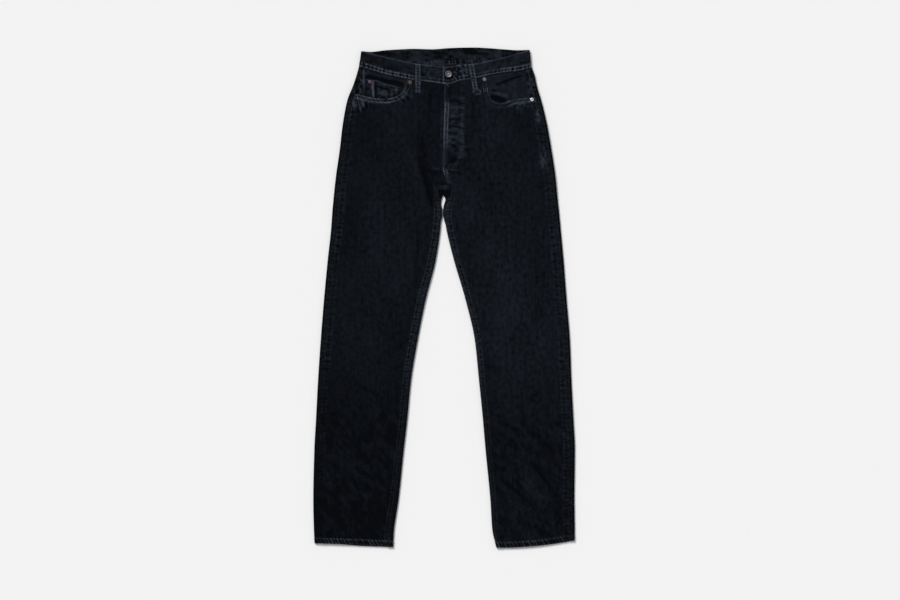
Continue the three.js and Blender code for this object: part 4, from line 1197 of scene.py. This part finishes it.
def coin_pocket():
    shares = graded(80, 1.6)
    top, bottom = (resample(rounded(edge, 120), shares=shares) for edge in (COIN_TOP, COIN_BOTTOM))
    plan = mix(top[None], bottom[None], graded(34, 1.6)[:, None, None])
    x, y = plan[..., 0], plan[..., 1]
    fold = one_fold(x, y, -164.5, 500, -162, 458, 3.4, 0.5)
    dark = one_fold(x, y, -158, 498, -156, 460, 4, 0.3)
    lines = sum(one_fold(x, y, *pull) for pull in COIN_PULLS)
    from_top = row_distances(x, y)[2]
    edge_ticks = ticks(x, y, 6, 0, 15)
    z = base_z(480) + LAID_HEIGHT - COIN_DROP + COIN_WALL + fold + 1.2 * lines
    z += 0.12 * edge_ticks * bell(from_top - 5, 4) + 0.16 * noise(x, y, 14, 10, 16)
    wear = 0.34 * bell(from_top - 0.8, 1.7) + 0.14 * bell(from_top - 9, 1.6) + 2.2 * np.clip(fold, 0, 1)
    wear += 0.2 * edge_ticks * (1 - smooth(8, 11, from_top)) + 0.2 * noise(x, y, 6, 5, 20)
    return flat_piece("coin_pocket", x, y, z, COIN_WALL, denim, wear + lines - dark)


def fly_shield():
    width = 42
    down, across = plan_shares(185, width, 3, 2)
    y = mix(band_edge(BUTTON[0]), FLY_BOTTOM, down)
    x = fly_line(y) - 2 + across * width
    z = base_z(y) + LAID_HEIGHT - UNDER_FRONT
    return flat_piece("fly_shield", x, y, z, WALL, denim_inside, 0.04)


# Waistband


def band_run(x_top, x_bottom, z, normal, back_share):
    """Stations of the waistband as arrays. back_share says how far they follow the back's edges."""
    y_top = mix(waist["front_top"](x_top), waist["back_top"](x_top), back_share)
    y_bottom = mix(waist["front_bottom"](x_bottom), waist["back_bottom"](x_bottom), back_share)
    return stacked(*np.broadcast_arrays(x_top, y_top, x_bottom, y_bottom, z, *normal))


def band_slant(x):
    """How far the waistband's lower edge is moved sideways from its upper one, near the folds."""
    return 5.2 * smooth(-150, -187, x) - 4 * smooth(152, 193, x)


def band_stations():
    half = (BAND_LEVEL - SEAT_LIFT) / 2

    def front_run(start, end, rise=0.0, step=2.0):
        x = np.linspace(start, end, int(abs(end - start) / step) + 1)
        level = BAND_LEVEL + rise * (1 - smooth(*OVERLAP_RAMP, x))
        return band_run(x, x - band_slant(x), level, (0, 1), 0.0)

    def fold(name, from_front):
        out = SIDES[name].out
        top, bottom = BAND_FOLD[name]
        share = np.linspace(0, 1, 15)[1:-1]
        angle = (1 if from_front else -1) * (math.pi / 2 - math.pi * share)
        shift = out * half * (1 - np.cos(angle))
        z = SEAT_LIFT + half + half * np.sin(angle)
        normal = (out * np.cos(angle), np.sin(angle))
        return band_run(top - shift, bottom - shift, z, normal, share if from_front else 1 - share)

    back_x = np.linspace(BAND_FOLD["right"][0] + half, BAND_FOLD["left"][0] - half, 110)
    return np.concatenate([
        front_run(UNDERLAP_END, BAND_END),
        front_run(BAND_END - 2, back_x[0]),
        fold("right", True),
        band_run(back_x, back_x - band_slant(back_x), SEAT_LIFT, (0, -1), 1.0),
        fold("left", False),
        front_run(back_x[-1], 56),
        front_run(54.5, BAND_END, OVERLAP_RISE, 1.25),
    ])


HOLE_ROW = 0.43  # share of the waistband's height
HOLE_ROW_GAP = 0.035
OVERLAP_STATIONS = 49  # from the buttonhole end


def waistband():
    stations = band_stations()
    x_top, y_top, x_bottom, y_bottom, z, nx, nz = (s[:, None] for s in stations.T)
    hole_edges = [HOLE_ROW - HOLE_ROW_GAP, HOLE_ROW + HOLE_ROW_GAP]
    rows = np.array([*graded(40, 2.2, (0, 0.4, 1, 2, 3.2)), *hole_edges])
    rows = np.unique(np.round(rows[np.abs(rows - HOLE_ROW) > 0.03], 6))[None]
    x, y = mix(x_top, x_bottom, rows), mix(y_top, y_bottom, rows)
    on_overlap = (np.arange(len(stations)) >= len(stations) - OVERLAP_STATIONS)[:, None]
    start, end, _ = BUTTONHOLE
    near = smooth(end + 12, end + 2, x) * smooth(-3, 4, x) * on_overlap
    to_button = BUTTON[1] - mix(y_top, y_bottom, HOLE_ROW)
    y += near * to_button * (1 - np.clip(np.abs(rows - HOLE_ROW) / 0.4, 0, 1))
    # Rounded top and bottom edges, two seams and the pulled cloth between them
    height = np.hypot(y_top - y_bottom, x_top - x_bottom)
    from_top, from_bottom = rows * height, (1 - rows) * height
    length = np.pad(np.cumsum(np.hypot(np.diff(x_top[:, 0]), np.diff(z[:, 0]))), (1, 0))[:, None]
    ends = np.minimum(length, length[-1:] - length)
    grained = lambda size_x, size_y, seed, slant=0: noise(
        length + slant * from_top, from_top, size_x, size_y, seed
    )
    fine = grained(9, 7, 22)
    edges = edge_round(from_top, 1.3) + edge_round(from_bottom, 1.1)
    relief = 0.14 * bell(from_top - 6, 5) * ticks(length, 0 * rows, 7, 0, 23)
    relief += 0.22 * grained(40, 22, 24) + 0.12 * fine - edges
    relief -= 0.25 * bell(from_bottom - 3, 1.1) + 0.2 * bell(from_top - 4, 1.1)
    relief = np.where(nz < -0.5, np.minimum(relief, 0), relief)
    relief += 0.35 * bell(ends - 3.5, 4) * on_overlap - edge_round(ends, 1.0)
    outer = stacked(x + nx * relief, y, z + nz * relief)
    wall = BAND_WALL - 0.85 * np.minimum(edges, 1.0)
    inner = stacked(x - nx * wall, y, z - nz * wall)
    # Wear: both edges, rows that fade under the hand, the button end and the buttonhole end
    rubbed = sewn(length, from_bottom, 3, 10, 8.4, 21)[1]
    plain = between(-78, -56, 122, 136, x)
    rows_only = 0.5 * bell(from_bottom - 2.4, 1.2) + 0.2 * bell(from_bottom - 9.6, 1.3)
    rows_only = rows_only * (0.8 + 0.5 * fine) - 0.06 * bell(from_bottom - 5.6, 2)
    wear = 0.5 * bell(from_top - 0.8, 1.7) * (0.8 + 0.4 * fine) + 0.22 * bell(from_bottom - 0.4, 1.2)
    wear += mix(2.3 * rubbed, rows_only + 0.5 * rubbed, plain)
    wear += 0.3 * bell(ends - 1.5, 3) + 0.04 * fine + 0.07 * grained(17, 6, 47, 1) * (1 - plain)
    worn_front = between(-56, -50, -12, -5, x) * (1 - on_overlap)
    wear += worn_front * np.clip(0.08 + 0.22 * grained(2.8, 4, 48), -0.06, 1)
    wear += 0.05 * smooth(80, 95, x) * (1 + grained(5, 4, 49))
    crumpled = on_overlap * between(17, 26, 52, 60, x) * smooth(1, 5, from_bottom)
    wear += crumpled * (0.95 * np.clip(grained(3.2, 6, 37, 0.6) + 0.02, 0, 1) - 0.12)
    from_button = np.hypot(x - BUTTON[0], y - BUTTON[1])
    # A dark ring round the button: painted shadow of the button on the band.
    wear -= 0.3 * bell(from_button - 9.6, 2.4) * (nz > 0.5)
    within = 0.02 + 0.17 * grained(11, 6, 27) - 0.05 * bell(x - 20, 50)
    within += 1.1 * sewn(length, from_bottom, 5, 11, 7.5, 26)[1]
    in_hole = (np.abs(rows - HOLE_ROW) < HOLE_ROW_GAP + 0.001) & (x > start) & (x < end) & on_overlap
    keep = ~(in_hole[:-1, :-1] & in_hole[1:, :-1] & in_hole[:-1, 1:] & in_hole[1:, 1:])
    return shell("waistband", outer, inner, denim, wear, 1.1, (length, y), keep, within)


# Belt loops and back pockets
LOOP_WIDTH = 13
LOOP_WALL = 1.6
BACK_LOOP_LENGTH = 67
LOOPS = {"front_right": (-60, -60, 470), "front_left": (62, 74, 470)}
BACK_LOOPS = {"back_right": -142, "back_centre": 4, "back_left": 148}


def front_loop(name):
    x_top, x_bottom, bottom = LOOPS[name]
    top = float(waist["front_top"](x_top)) - 1
    down, across = plan_shares(top - bottom, LOOP_WIDTH, 1.5, 1.1)
    offset = (across - 0.5) * LOOP_WIDTH
    x, y = mix(x_top, x_bottom, down) + offset, mix(top, bottom, down)
    band = BAND_LEVEL + 0.3 + 0.7 * np.sin(math.pi * np.clip(down / 0.62, 0, 1))
    z = mix(band, top_z(x, y) + 0.3, smooth(0.62, 0.86, down)) + LOOP_WALL
    cord = bell(np.abs(offset) - 4.9, 1.3)
    z += 0.14 * cord - 0.12 * bell(offset, 1.6) + 0.1 * ticks(y, x, 5.4, 0, 31) * cord
    z -= 0.35 * bell(y - bottom - 5, 2.4) + 0.3 * bell(top - y - 5, 2.4)
    wear = 0.17 + 0.9 * bell(np.abs(offset) - 4.3, 1.3) * (0.8 + 0.9 * noise(x, y, 3, 4.5, 32))
    wear += 0.34 * np.clip(ticks(y, x, 6.5, 0.1, 33), -0.8, 1)
    wear += 0.15 * bell(y - bottom, 2) + 0.5 * bell(top - y - 1, 2.4)
    if name == "front_left":
        wear = wear * smooth(bottom + 7, bottom + 11, y) + loop_ring(x, y)
    return flat_piece("loop_" + name, x, y, z, LOOP_WALL, denim, wear, 1.2, 0.7)


def under_plate(node, x, y, wear):
    """A piece below the seat: its outside is its lower face."""
    outer = stacked(x, y, edge_round(edge_distance(x, y), 0.45))
    inner = stacked(x, y, BACK_PIECE_WALL + 0 * x)
    return shell(node, outer, inner, denim, wear, 1.0, (x, y))


def back_loop(name):
    x = BACK_LOOPS[name]
    top = float(waist["back_top"](x)) - 1
    down, across = plan_shares(BACK_LOOP_LENGTH, LOOP_WIDTH, 3, 1.4)
    offset = (across - 0.5) * LOOP_WIDTH
    wear = 0.22 + 0.25 * bell(np.abs(offset) - 5.4, 1.3)
    return under_plate("loop_" + name, x + offset, top - BACK_LOOP_LENGTH * down, wear)


BACK_POCKET = dict(x=104, top=424, bottom=292, point=274, top_half=76, bottom_half=64, tilt=5)


def back_pocket_plan(name, down, across):
    p, aside = BACK_POCKET, 2 * across - 1
    x = SIDES[name].out * (p["x"] + aside * mix(p["top_half"], p["bottom_half"], down))
    low = mix(p["bottom"], p["point"], 1 - np.abs(aside))
    return x, mix(p["top"], low, down) + p["tilt"] * aside


def back_pocket(name):
    x, y = back_pocket_plan(name, *plan_shares(140, 150, 3.4))
    edge = edge_distance(x, y)
    wear = 0.2 * bell(edge, 2) + 0.16 * bell(edge - 9, 2) * (1 + ticks(x + y, y, 7, 0, 34))
    return under_plate("back_pocket_" + name, x, y, wear)


# Metal parts


def turned(node, profile, x, y, z, finish, segments=48, edge_shade=(0.82, 0.97), groove=0.0):
    """A turned part from radius and height pairs, with painted shade darkening its edge and, where
    asked, a groove darkened by patina and painted shade.
    """
    rings = np.array(profile[1:-1], float)
    angle = np.linspace(0, 2 * math.pi, segments, endpoint=False)
    radius, height = rings[:, :1], rings[:, 1:] + 0 * angle
    around = stacked(x + radius * np.cos(angle), y + radius * np.sin(angle), z + height)
    poles = [[x, y, z + profile[0][1]], [x, y, z + profile[-1][1]]]
    at = lambda i, j: i * segments + j % segments
    last = len(rings) - 1
    bottom, top = at(last + 1, 0), at(last + 1, 0) + 1
    faces = []
    for i in range(last):
        faces += [[at(i, j), at(i, j + 1), at(i + 1, j + 1), at(i + 1, j)] for j in range(segments)]
    faces += [[bottom, at(0, j + 1), at(0, j)] for j in range(segments)]
    faces += [[top, at(last, j), at(last, j + 1)] for j in range(segments)]
    reach = np.append(np.repeat(rings[:, 0], segments), [0, 0]) / rings[:, 0].max()
    # rim: painted shade round the edge, and patina with painted shade in the groove.
    rim = np.minimum(smooth(*edge_shade, reach) + groove * bell(reach - 0.46, 0.12), 1)
    vertices = np.concatenate([around.reshape(-1, 3), poles])
    return make_object(node + "_metal", vertices, faces, finishes[finish], {"rim": rim}, 38)


# Radius and height of the turned parts, from the middle below to the middle above.
WAIST_BUTTON_PROFILE = [
    (0, 0), (2.2, 0), (2.2, 2.8), (7.1, 2.8), (8.0, 3.1), (8.45, 3.8), (8.5, 4.7), (8.3, 5.5),
    (7.7, 6.05), (7.0, 6.2), (6.5, 6.1), (6.1, 5.85), (5.6, 5.5), (4.9, 5.1), (4.1, 4.72), (3.4, 4.5),
    (2.7, 4.42), (2.0, 4.5), (1.6, 4.8), (1.2, 5.0), (0.6, 5.08), (0, 5.1),
]
RIVET_PROFILE = [
    (0, 0), (4.6, 0), (4.6, 0.35), (4.45, 0.7), (4.1, 0.98), (3.5, 1.18), (2.8, 1.24), (2.2, 1.12),
    (1.8, 0.98), (1.55, 1.05), (1.5, 1.5), (1.3, 1.78), (0.8, 1.9), (0, 1.9),
]
FLY_BUTTON_PROFILE = [
    (0, 0), (8.5, 0), (8.5, 1.7), (8.1, 2.2), (7.5, 2.4), (6.6, 2.3), (6.2, 2.1), (0, 2.1),
]
RIVETS = {
    "coin_outer": (-170.5, 496, "aged_copper"),
    "coin_inner": (-109.5, 477, "dark_copper"),
    "pocket_right": (-78, 494.5, "aged_copper"),
    "pocket_left": (93, 501.5, "worn_copper"),
    "side_right": (-177, 457, "dark_copper"),
    "side_left": (202, 455, "bright_steel"),
}


def panel_height(x, y):
    """Height of the solids' upper layer, which the metal parts stand on."""
    folds = sum(fold_height(fold, x, y) for fold in FOLDS[:SOLID_FOLDS])
    return float(base_z(y) + LAID_HEIGHT + folds)


# Sewing


STITCH_SIDES = 6
# Share of a stitch's length, its thickness there and its lift, both in thread radii.
STITCH_ARCH = [
    (-0.05, 0.25, -0.5), (0.08, 0.8, 0.15), (0.5, 1.05, 0.45), (0.92, 0.8, 0.15), (1.05, 0.25, -0.5),
]


class Sewing:
    """Single stitches laid on the cloth, joined into one mesh."""

    def __init__(self, name, material, trees, seed):
        self.name, self.material, self.trees = name, material, trees
        self.random = np.random.default_rng(seed)
        self.vertices, self.faces = [], []

    def height(self, x, y, below):
        up = Vector((0, 0, -1 if below else 1))
        start = Vector((x * MM, y * MM, 0)) + up * 0.05
        hits = [tree.ray_cast(start, -up)[0] for tree in self.trees]
        heights = [hit.z / MM for hit in hits if hit is not None]
        if not heights:
            return None
        return min(heights) if below else max(heights)

    def stitch(self, start, end, radius, below=False):
        """A thread from one hole to the next, arched over the cloth."""
        start, way = np.asarray(start, float), np.subtract(end, start)
        along = way / max(np.linalg.norm(way), 1e-6)
        side = np.array([-along[1], along[0], 0])
        rings = []
        for share, thick, lift in STITCH_ARCH:
            x, y = start + way * share
            z = self.height(x, y, below)
            if z is None:
                return
            z = max(z - lift * radius, radius * thick + 0.02) if below else z + lift * radius
            for angle in np.arange(STITCH_SIDES) * 2 * math.pi / STITCH_SIDES:
                offset = side * math.cos(angle) + np.array([0, 0, math.sin(angle)])
                rings.append(np.array([x, y, z]) + offset * radius * thick)
        base = sum(len(v) for v in self.vertices)
        self.vertices.append(np.array(rings))
        sides = range(STITCH_SIDES)
        for first in range(base, base + len(rings) - STITCH_SIDES, STITCH_SIDES):
            for k in sides:
                a, b = first + k, first + (k + 1) % STITCH_SIDES
                self.faces.append([a, b, b + STITCH_SIDES, a + STITCH_SIDES])
        self.faces.append([base + k for k in reversed(sides)])
        self.faces.append([base + len(rings) - STITCH_SIDES + k for k in sides])

    def row(self, path, pitch=3.3, radius=0.3, below=False, share=0.74):
        """A row of stitches along a path, a little uneven."""
        count = max(1, int(round(length_of(path) / pitch)))
        starts = np.linspace(0, 1, count, endpoint=False)
        starts += self.random.normal(0, 0.05, count) / count
        ends = starts + share / count
        points = resample(path, shares=np.clip(np.concatenate([starts, ends]), 0, 1))
        points += self.random.normal(0, 0.1, points.shape)
        for a, b in zip(points[:count], points[count:]):
            self.stitch(a, b, radius * self.random.uniform(0.88, 1.1), below)

    def tack(self, a, b, width=2.0, pitch=0.62, radius=0.26):
        """A bartack from a to b: close zigzag stitches across it."""
        a, b = np.array(a, float), np.array(b, float)
        along = (b - a) / np.linalg.norm(b - a)
        across = np.array([-along[1], along[0]]) * width / 2
        for i in range(int(np.linalg.norm(b - a) / pitch)):
            middle = a + along * pitch * (i + 0.5)
            lean = along * pitch * 0.5
            self.stitch(middle - across - lean, middle + across + lean, radius)

    def build(self):
        vertices = np.concatenate(self.vertices)
        return make_object(self.name, vertices, self.faces, self.material, smooth_angle=180)


def beside(path, gap):
    """The path moved sideways by a gap, to its left."""
    path = resample(path, max(8, int(length_of(path) / 3)))
    way = np.gradient(path, axis=0)
    way = way / np.linalg.norm(way, axis=1, keepdims=True)
    return path + gap * stacked(-way[:, 1], way[:, 0])


def column(x_of_y, start, end):
    return line_down(x_of_y, start, end, max(8, int(abs(end - start) / 3)))


def along_band(edge, offset, start, end):
    xs = np.linspace(start, end, 80)
    return stacked(xs, waist[edge](xs) + offset)


def hem_path(side, up):
    shares = np.linspace(0, 1, 60)
    y = side.hem_y(shares) + up
    return stacked(mix(side.inner(y) + side.out * 1.6, side.outer(y) - side.out * 1.6, shares), y)


# Rows along the waistband: the edge they follow and how far above it they lie.
TOP_ROW, LOWER_ROW, UPPER_ROW = ("front_top", -3.4), ("front_bottom", 2.8), ("front_bottom", 10)
LOOP_ROWS = (-4.4, 4.4)  # from a loop's middle line
SMALL_STITCHES = dict(pitch=3.4, radius=0.24, share=0.6)
# Pale rows beside the fly's edge: distance from it below and above FLY_DRIFT, and thickness.
FLY_ROWS = [(2, 3.5, 0.46), (9, 11.2, 0.3)]
FLY_DRIFT = (376, 448)
# Single pale marks: points, pitch and thickness.
BAND_MARKS = [
    ([[0.6, 518.5], [3, 524], [7.5, 529]], 2.6, 0.34),
    ([[-1.4, 495], [2.6, 490.6], [8, 488.6], [11.6, 484]], 2.8, 0.42),
]
PANEL_MARKS = [
    ([[-2, 299], [0.9, 282]], 2.6, 0.56),
    ([[5.2, 294], [9.6, 284]], 2.6, 0.46),
    *(([[x, 482], [x, 472]], 3.2, 0.4) for x in (91, 95.5, 100)),
]
# Tacks: both ends and the width.
PANEL_TACKS = [((2, 291), (8, 278), 2.4), ((44, 339), (38, 333), 2.2)]


def sew_legs(top, pale):
    for name, side in SIDES.items():
        out = side.out
        top.row(hem_path(side, HEM_HEIGHT - 1.9), 3.1)
        inseam = column(lambda y: side.inner(y) + out * (side.in_turn(y) + 1.7), 256, -556)
        top.row(inseam)
        top.row(beside(inseam, out * 5.8))
        for gap in (1.8, 9.2):
            path = beside(side.mouth[::-1], gap * -out)[1:-1]
            crisp = path[:, 0] < -112 if name == "right" else path[:, 0] > 150
            (pale if name == "right" else top).row(path[crisp], 3.2, 0.24)
            top.row(path[~crisp], 3.2, 0.22)
        top.row(column(lambda y: side.outseam(y) - out * 1.9, side.mouth[0, 1] - 4, 404))


def sew_fly(top, pale):
    """The outer curve twice, the edge and the crotch seam."""
    ys = np.linspace(486, 301, 120)
    for gap in (0, 5.6):
        top.row(stacked(j_stitch_x(ys) - gap * smooth(304, 330, ys), ys), 3.2)
    top.row(column(lambda y: fly_line(y) + 2, 486, 318))
    for low, high, radius in FLY_ROWS:
        path = column(lambda y: fly_line(y) + ramp(low, high, *FLY_DRIFT, y), 446, 362)
        pale.row(path, radius=radius)
    top.row(column(lambda y: fly_line(y) - 2.4, 352, 268), 3.2)


def sew_waistband(top, pale):
    """Rows that stop at the loops, which lie over them, then the buttonhole end."""
    over_start, left_end = BAND_END + 4, BAND_FOLD["left"][0] - 8
    right_end, under_end = BAND_FOLD["right"][0] + 8, BAND_END - 3
    right_runs = [(right_end, -67.5), (-52.5, under_end)]
    for start, end in [(over_start, 55), (69.5, left_end), *right_runs]:
        top.row(along_band(*TOP_ROW, start, end), 3.2)
    for start, end in [(over_start, 60.5), (75.5, left_end), *right_runs]:
        pale.row(along_band(*LOWER_ROW, start, end), **SMALL_STITCHES)
    for start, end in [(130, left_end), (right_end, -74)]:
        pale.row(along_band(*UPPER_ROW, start, end), **SMALL_STITCHES)
    pale.row([[BAND_END + 2.4, 528], [BAND_END + 2.4, 499]], 4.4, 0.4, share=0.55)
    top.row([[BAND_END + 4.2, 527], [BAND_END + 4.2, 496]], 2.6)
    for mark in BAND_MARKS:
        pale.row(*mark)
    _, end, half_width = BUTTONHOLE
    for sign in (-1, 1):
        y = BUTTON[1] + sign * (half_width + 0.2)
        for x in np.arange(19.4, end + 1, 0.75):
            top.stitch((x, y), (x, y + sign * 2.3), 0.24)
    top.tack((end + 0.6, BUTTON[1] - 2.6), (end + 0.6, BUTTON[1] + 2.6), 2.2)


def sew_front_details(top, pale):
    """Loops with a tack at both ends, the coin pocket's edge, and tacks on the panels."""
    for x_top, x_bottom, bottom in LOOPS.values():
        high = float(waist["front_top"](x_top)) - 1
        for offset in LOOP_ROWS:
            top.row([[x_top + offset, high - 3], [x_bottom + offset, bottom + 3]], 2.9)
        top.tack((x_bottom - 5.6, bottom + 2.8), (x_bottom + 5.6, bottom + 2.8), 2.2)
        top.tack((x_top - 5.6, high - 4.5), (x_top + 5.6, high - 4.5), 2.0)
    for down in (2.4, 8.6):
        top.row(rounded(COIN_TOP, 60) - [0, down], 3.0)
    for mark in PANEL_MARKS:
        pale.row(*mark)
    for tack in PANEL_TACKS:
        top.tack(*tack)


def sew_under_side(top):
    """Yoke seams, back pockets, seat seam and back loops."""
    along, ones = np.linspace(0.02, 1, 30), np.ones(30)
    down = np.concatenate([along, ones, np.linspace(1, 0.02, 30)])
    across = np.concatenate([0 * ones, np.linspace(0, 1, 30), ones])
    row = lambda path, pitch=3.4: top.row(path, pitch, below=True)
    for name, side in SIDES.items():
        xs = np.linspace(side.outer(YOKE_SIDE_Y) - side.out * 6, side.out * 3, 60)
        for gap in (2, 8):
            row(stacked(xs, yoke_seam(np.linspace(0, 1, 60)) - gap))
        for inset in (1.8 / 140, 8 / 140):
            plan = (np.minimum(down, 1 - inset), mix(inset, 1 - inset, across))
            row(stacked(*back_pocket_plan(name, *plan)))
        row(stacked(*back_pocket_plan(name, np.full(40, 0.09), np.linspace(0.02, 0.98, 40))))
    for gap in (2.5, 8.5):
        row(column(lambda y: seat_seam(y) + gap, 526, 270))
    for x in BACK_LOOPS.values():
        high = float(waist["back_top"](x))
        for offset in LOOP_ROWS:
            row([[x + offset, high - 4], [x + offset, high - 64]], 3.0)


def sew(trees):
    top = Sewing("stitches", thread, trees, SEED + 1)
    pale = Sewing("stitches_pale", pale_thread, trees, SEED + 2)
    sew_legs(top, pale)
    sew_fly(top, pale)
    sew_waistband(top, pale)
    sew_front_details(top, pale)
    sew_under_side(top)
    return [top.build(), pale.build()]


# The garment
cloth = {}
for name in SIDES:
    cloth["front_" + name] = front(name)
    cloth["back_" + name] = back(name)
    cloth["yoke_" + name] = yoke(name)
    cloth["facing_" + name] = facing(name)
    cloth["back_pocket_" + name] = back_pocket(name)
cloth["coin_pocket"] = coin_pocket()
cloth["fly_shield"] = fly_shield()
cloth["waistband"] = waistband()
for name in LOOPS:
    cloth["loop_" + name] = front_loop(name)
for name in BACK_LOOPS:
    cloth["loop_" + name] = back_loop(name)


def tree_of(obj):
    mesh = obj.data
    return BVHTree.FromPolygons([v.co for v in mesh.vertices], [p.vertices for p in mesh.polygons])


stitching = sew([tree_of(obj) for obj in cloth.values()])

button_place = (*BUTTON, BAND_LEVEL + METAL_GAP)
metal = {
    "waist_button": turned(
        "waist_button", WAIST_BUTTON_PROFILE, *button_place, "worn_steel", 64, (0.72, 0.86), 0.8
    )
}
for name, (x, y, finish) in RIVETS.items():
    level = panel_height(x, y)
    if name.startswith("coin"):
        level = panel_height(-140, 480) - COIN_DROP + COIN_WALL
    node = "rivet_" + name
    metal[node] = turned(node, RIVET_PROFILE, x, y, level + METAL_GAP, finish, 36)
for i, y in enumerate(FLY_BUTTON_YS):
    node, x = f"fly_button_{i + 1}", FLY_BUTTON_X
    z = panel_height(x, y) - FLY_BUTTON_DROP
    metal[node] = turned(node, FLY_BUTTON_PROFILE, x, y, z, "aged_steel")

for node, obj in {**cloth, **metal}.items():
    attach(obj, "root")
    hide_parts(node)
for obj in stitching:
    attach(obj, "root")

# What each cut piece lies on; pieces that are not listed lie on the floor.
LIES_ON = {
    "front_right": ["back_right", "fly_shield"],
    "front_left": ["back_left", "fly_shield"],
    "back_right": ["back_pocket_right", "floor"],
    "back_left": ["back_pocket_left", "floor"],
    "yoke_right": ["loop_back_right", "loop_back_centre"],
    "yoke_left": ["loop_back_left", "loop_back_centre"],
    "facing_right": ["yoke_right"],
    "facing_left": ["yoke_left"],
    "coin_pocket": ["facing_right"],
    "fly_shield": ["yoke_right", "back_right"],
    "waistband": ["loop_back_right", "loop_back_centre", "loop_back_left"],
    "loop_front_right": ["waistband", "front_right"],
    "loop_front_left": ["waistband", "front_left"],
}


def shown_name(node):
    return cloth[node].name if node in cloth else node


for node, obj in cloth.items():
    under = [shown_name(other) for other in LIES_ON.get(node, ["floor"])]

# Floor, light and camera
FLOOR_SIZE = 12
FLOOR_Z = -0.4
FLOOR_COLOR = (0.88, 0.88, 0.88)
SKY_STRENGTH = 0.42
SUN_ENERGY = 2.85
SUN_SPREAD = 24
SUN_TILT = (-38, -34)

bpy.ops.mesh.primitive_plane_add(size=FLOOR_SIZE, location=(0, 0, FLOOR_Z * MM))
floor = bpy.context.object
floor.name = "floor"
floor_look = Graph("floor").look(Base_Color=paint(FLOOR_COLOR), Roughness=1.0, Specular_IOR_Level=0.0)
floor.data.materials.append(floor_look)

scene = bpy.context.scene
world = bpy.data.worlds.new("studio")
scene.world = world
world.use_nodes = True
sky = world.node_tree.nodes["Background"].inputs
sky["Color"].default_value = (1, 1, 1, 1)
sky["Strength"].default_value = SKY_STRENGTH

key = bpy.data.lights.new("key", "SUN")
key.energy = SUN_ENERGY
key.angle = math.radians(SUN_SPREAD)
lamp = bpy.data.objects.new("key", key)
lamp.rotation_euler = (math.radians(SUN_TILT[0]), math.radians(SUN_TILT[1]), 0)
scene.collection.objects.link(lamp)

camera_data = bpy.data.cameras.new("camera")
camera_data.lens = LENS
camera_data.sensor_width = SENSOR
camera = bpy.data.objects.new("camera", camera_data)
pixel = MM_PER_PIXEL * MM
aside, down = PHOTO_CENTRE[0] - GARMENT_CENTRE[0], PHOTO_CENTRE[1] - GARMENT_CENTRE[1]
camera.location = (aside * pixel, -down * pixel, PHOTO_WIDTH * pixel * LENS / SENSOR)
scene.collection.objects.link(camera)
scene.camera = camera
scene.view_settings.view_transform = "Standard"
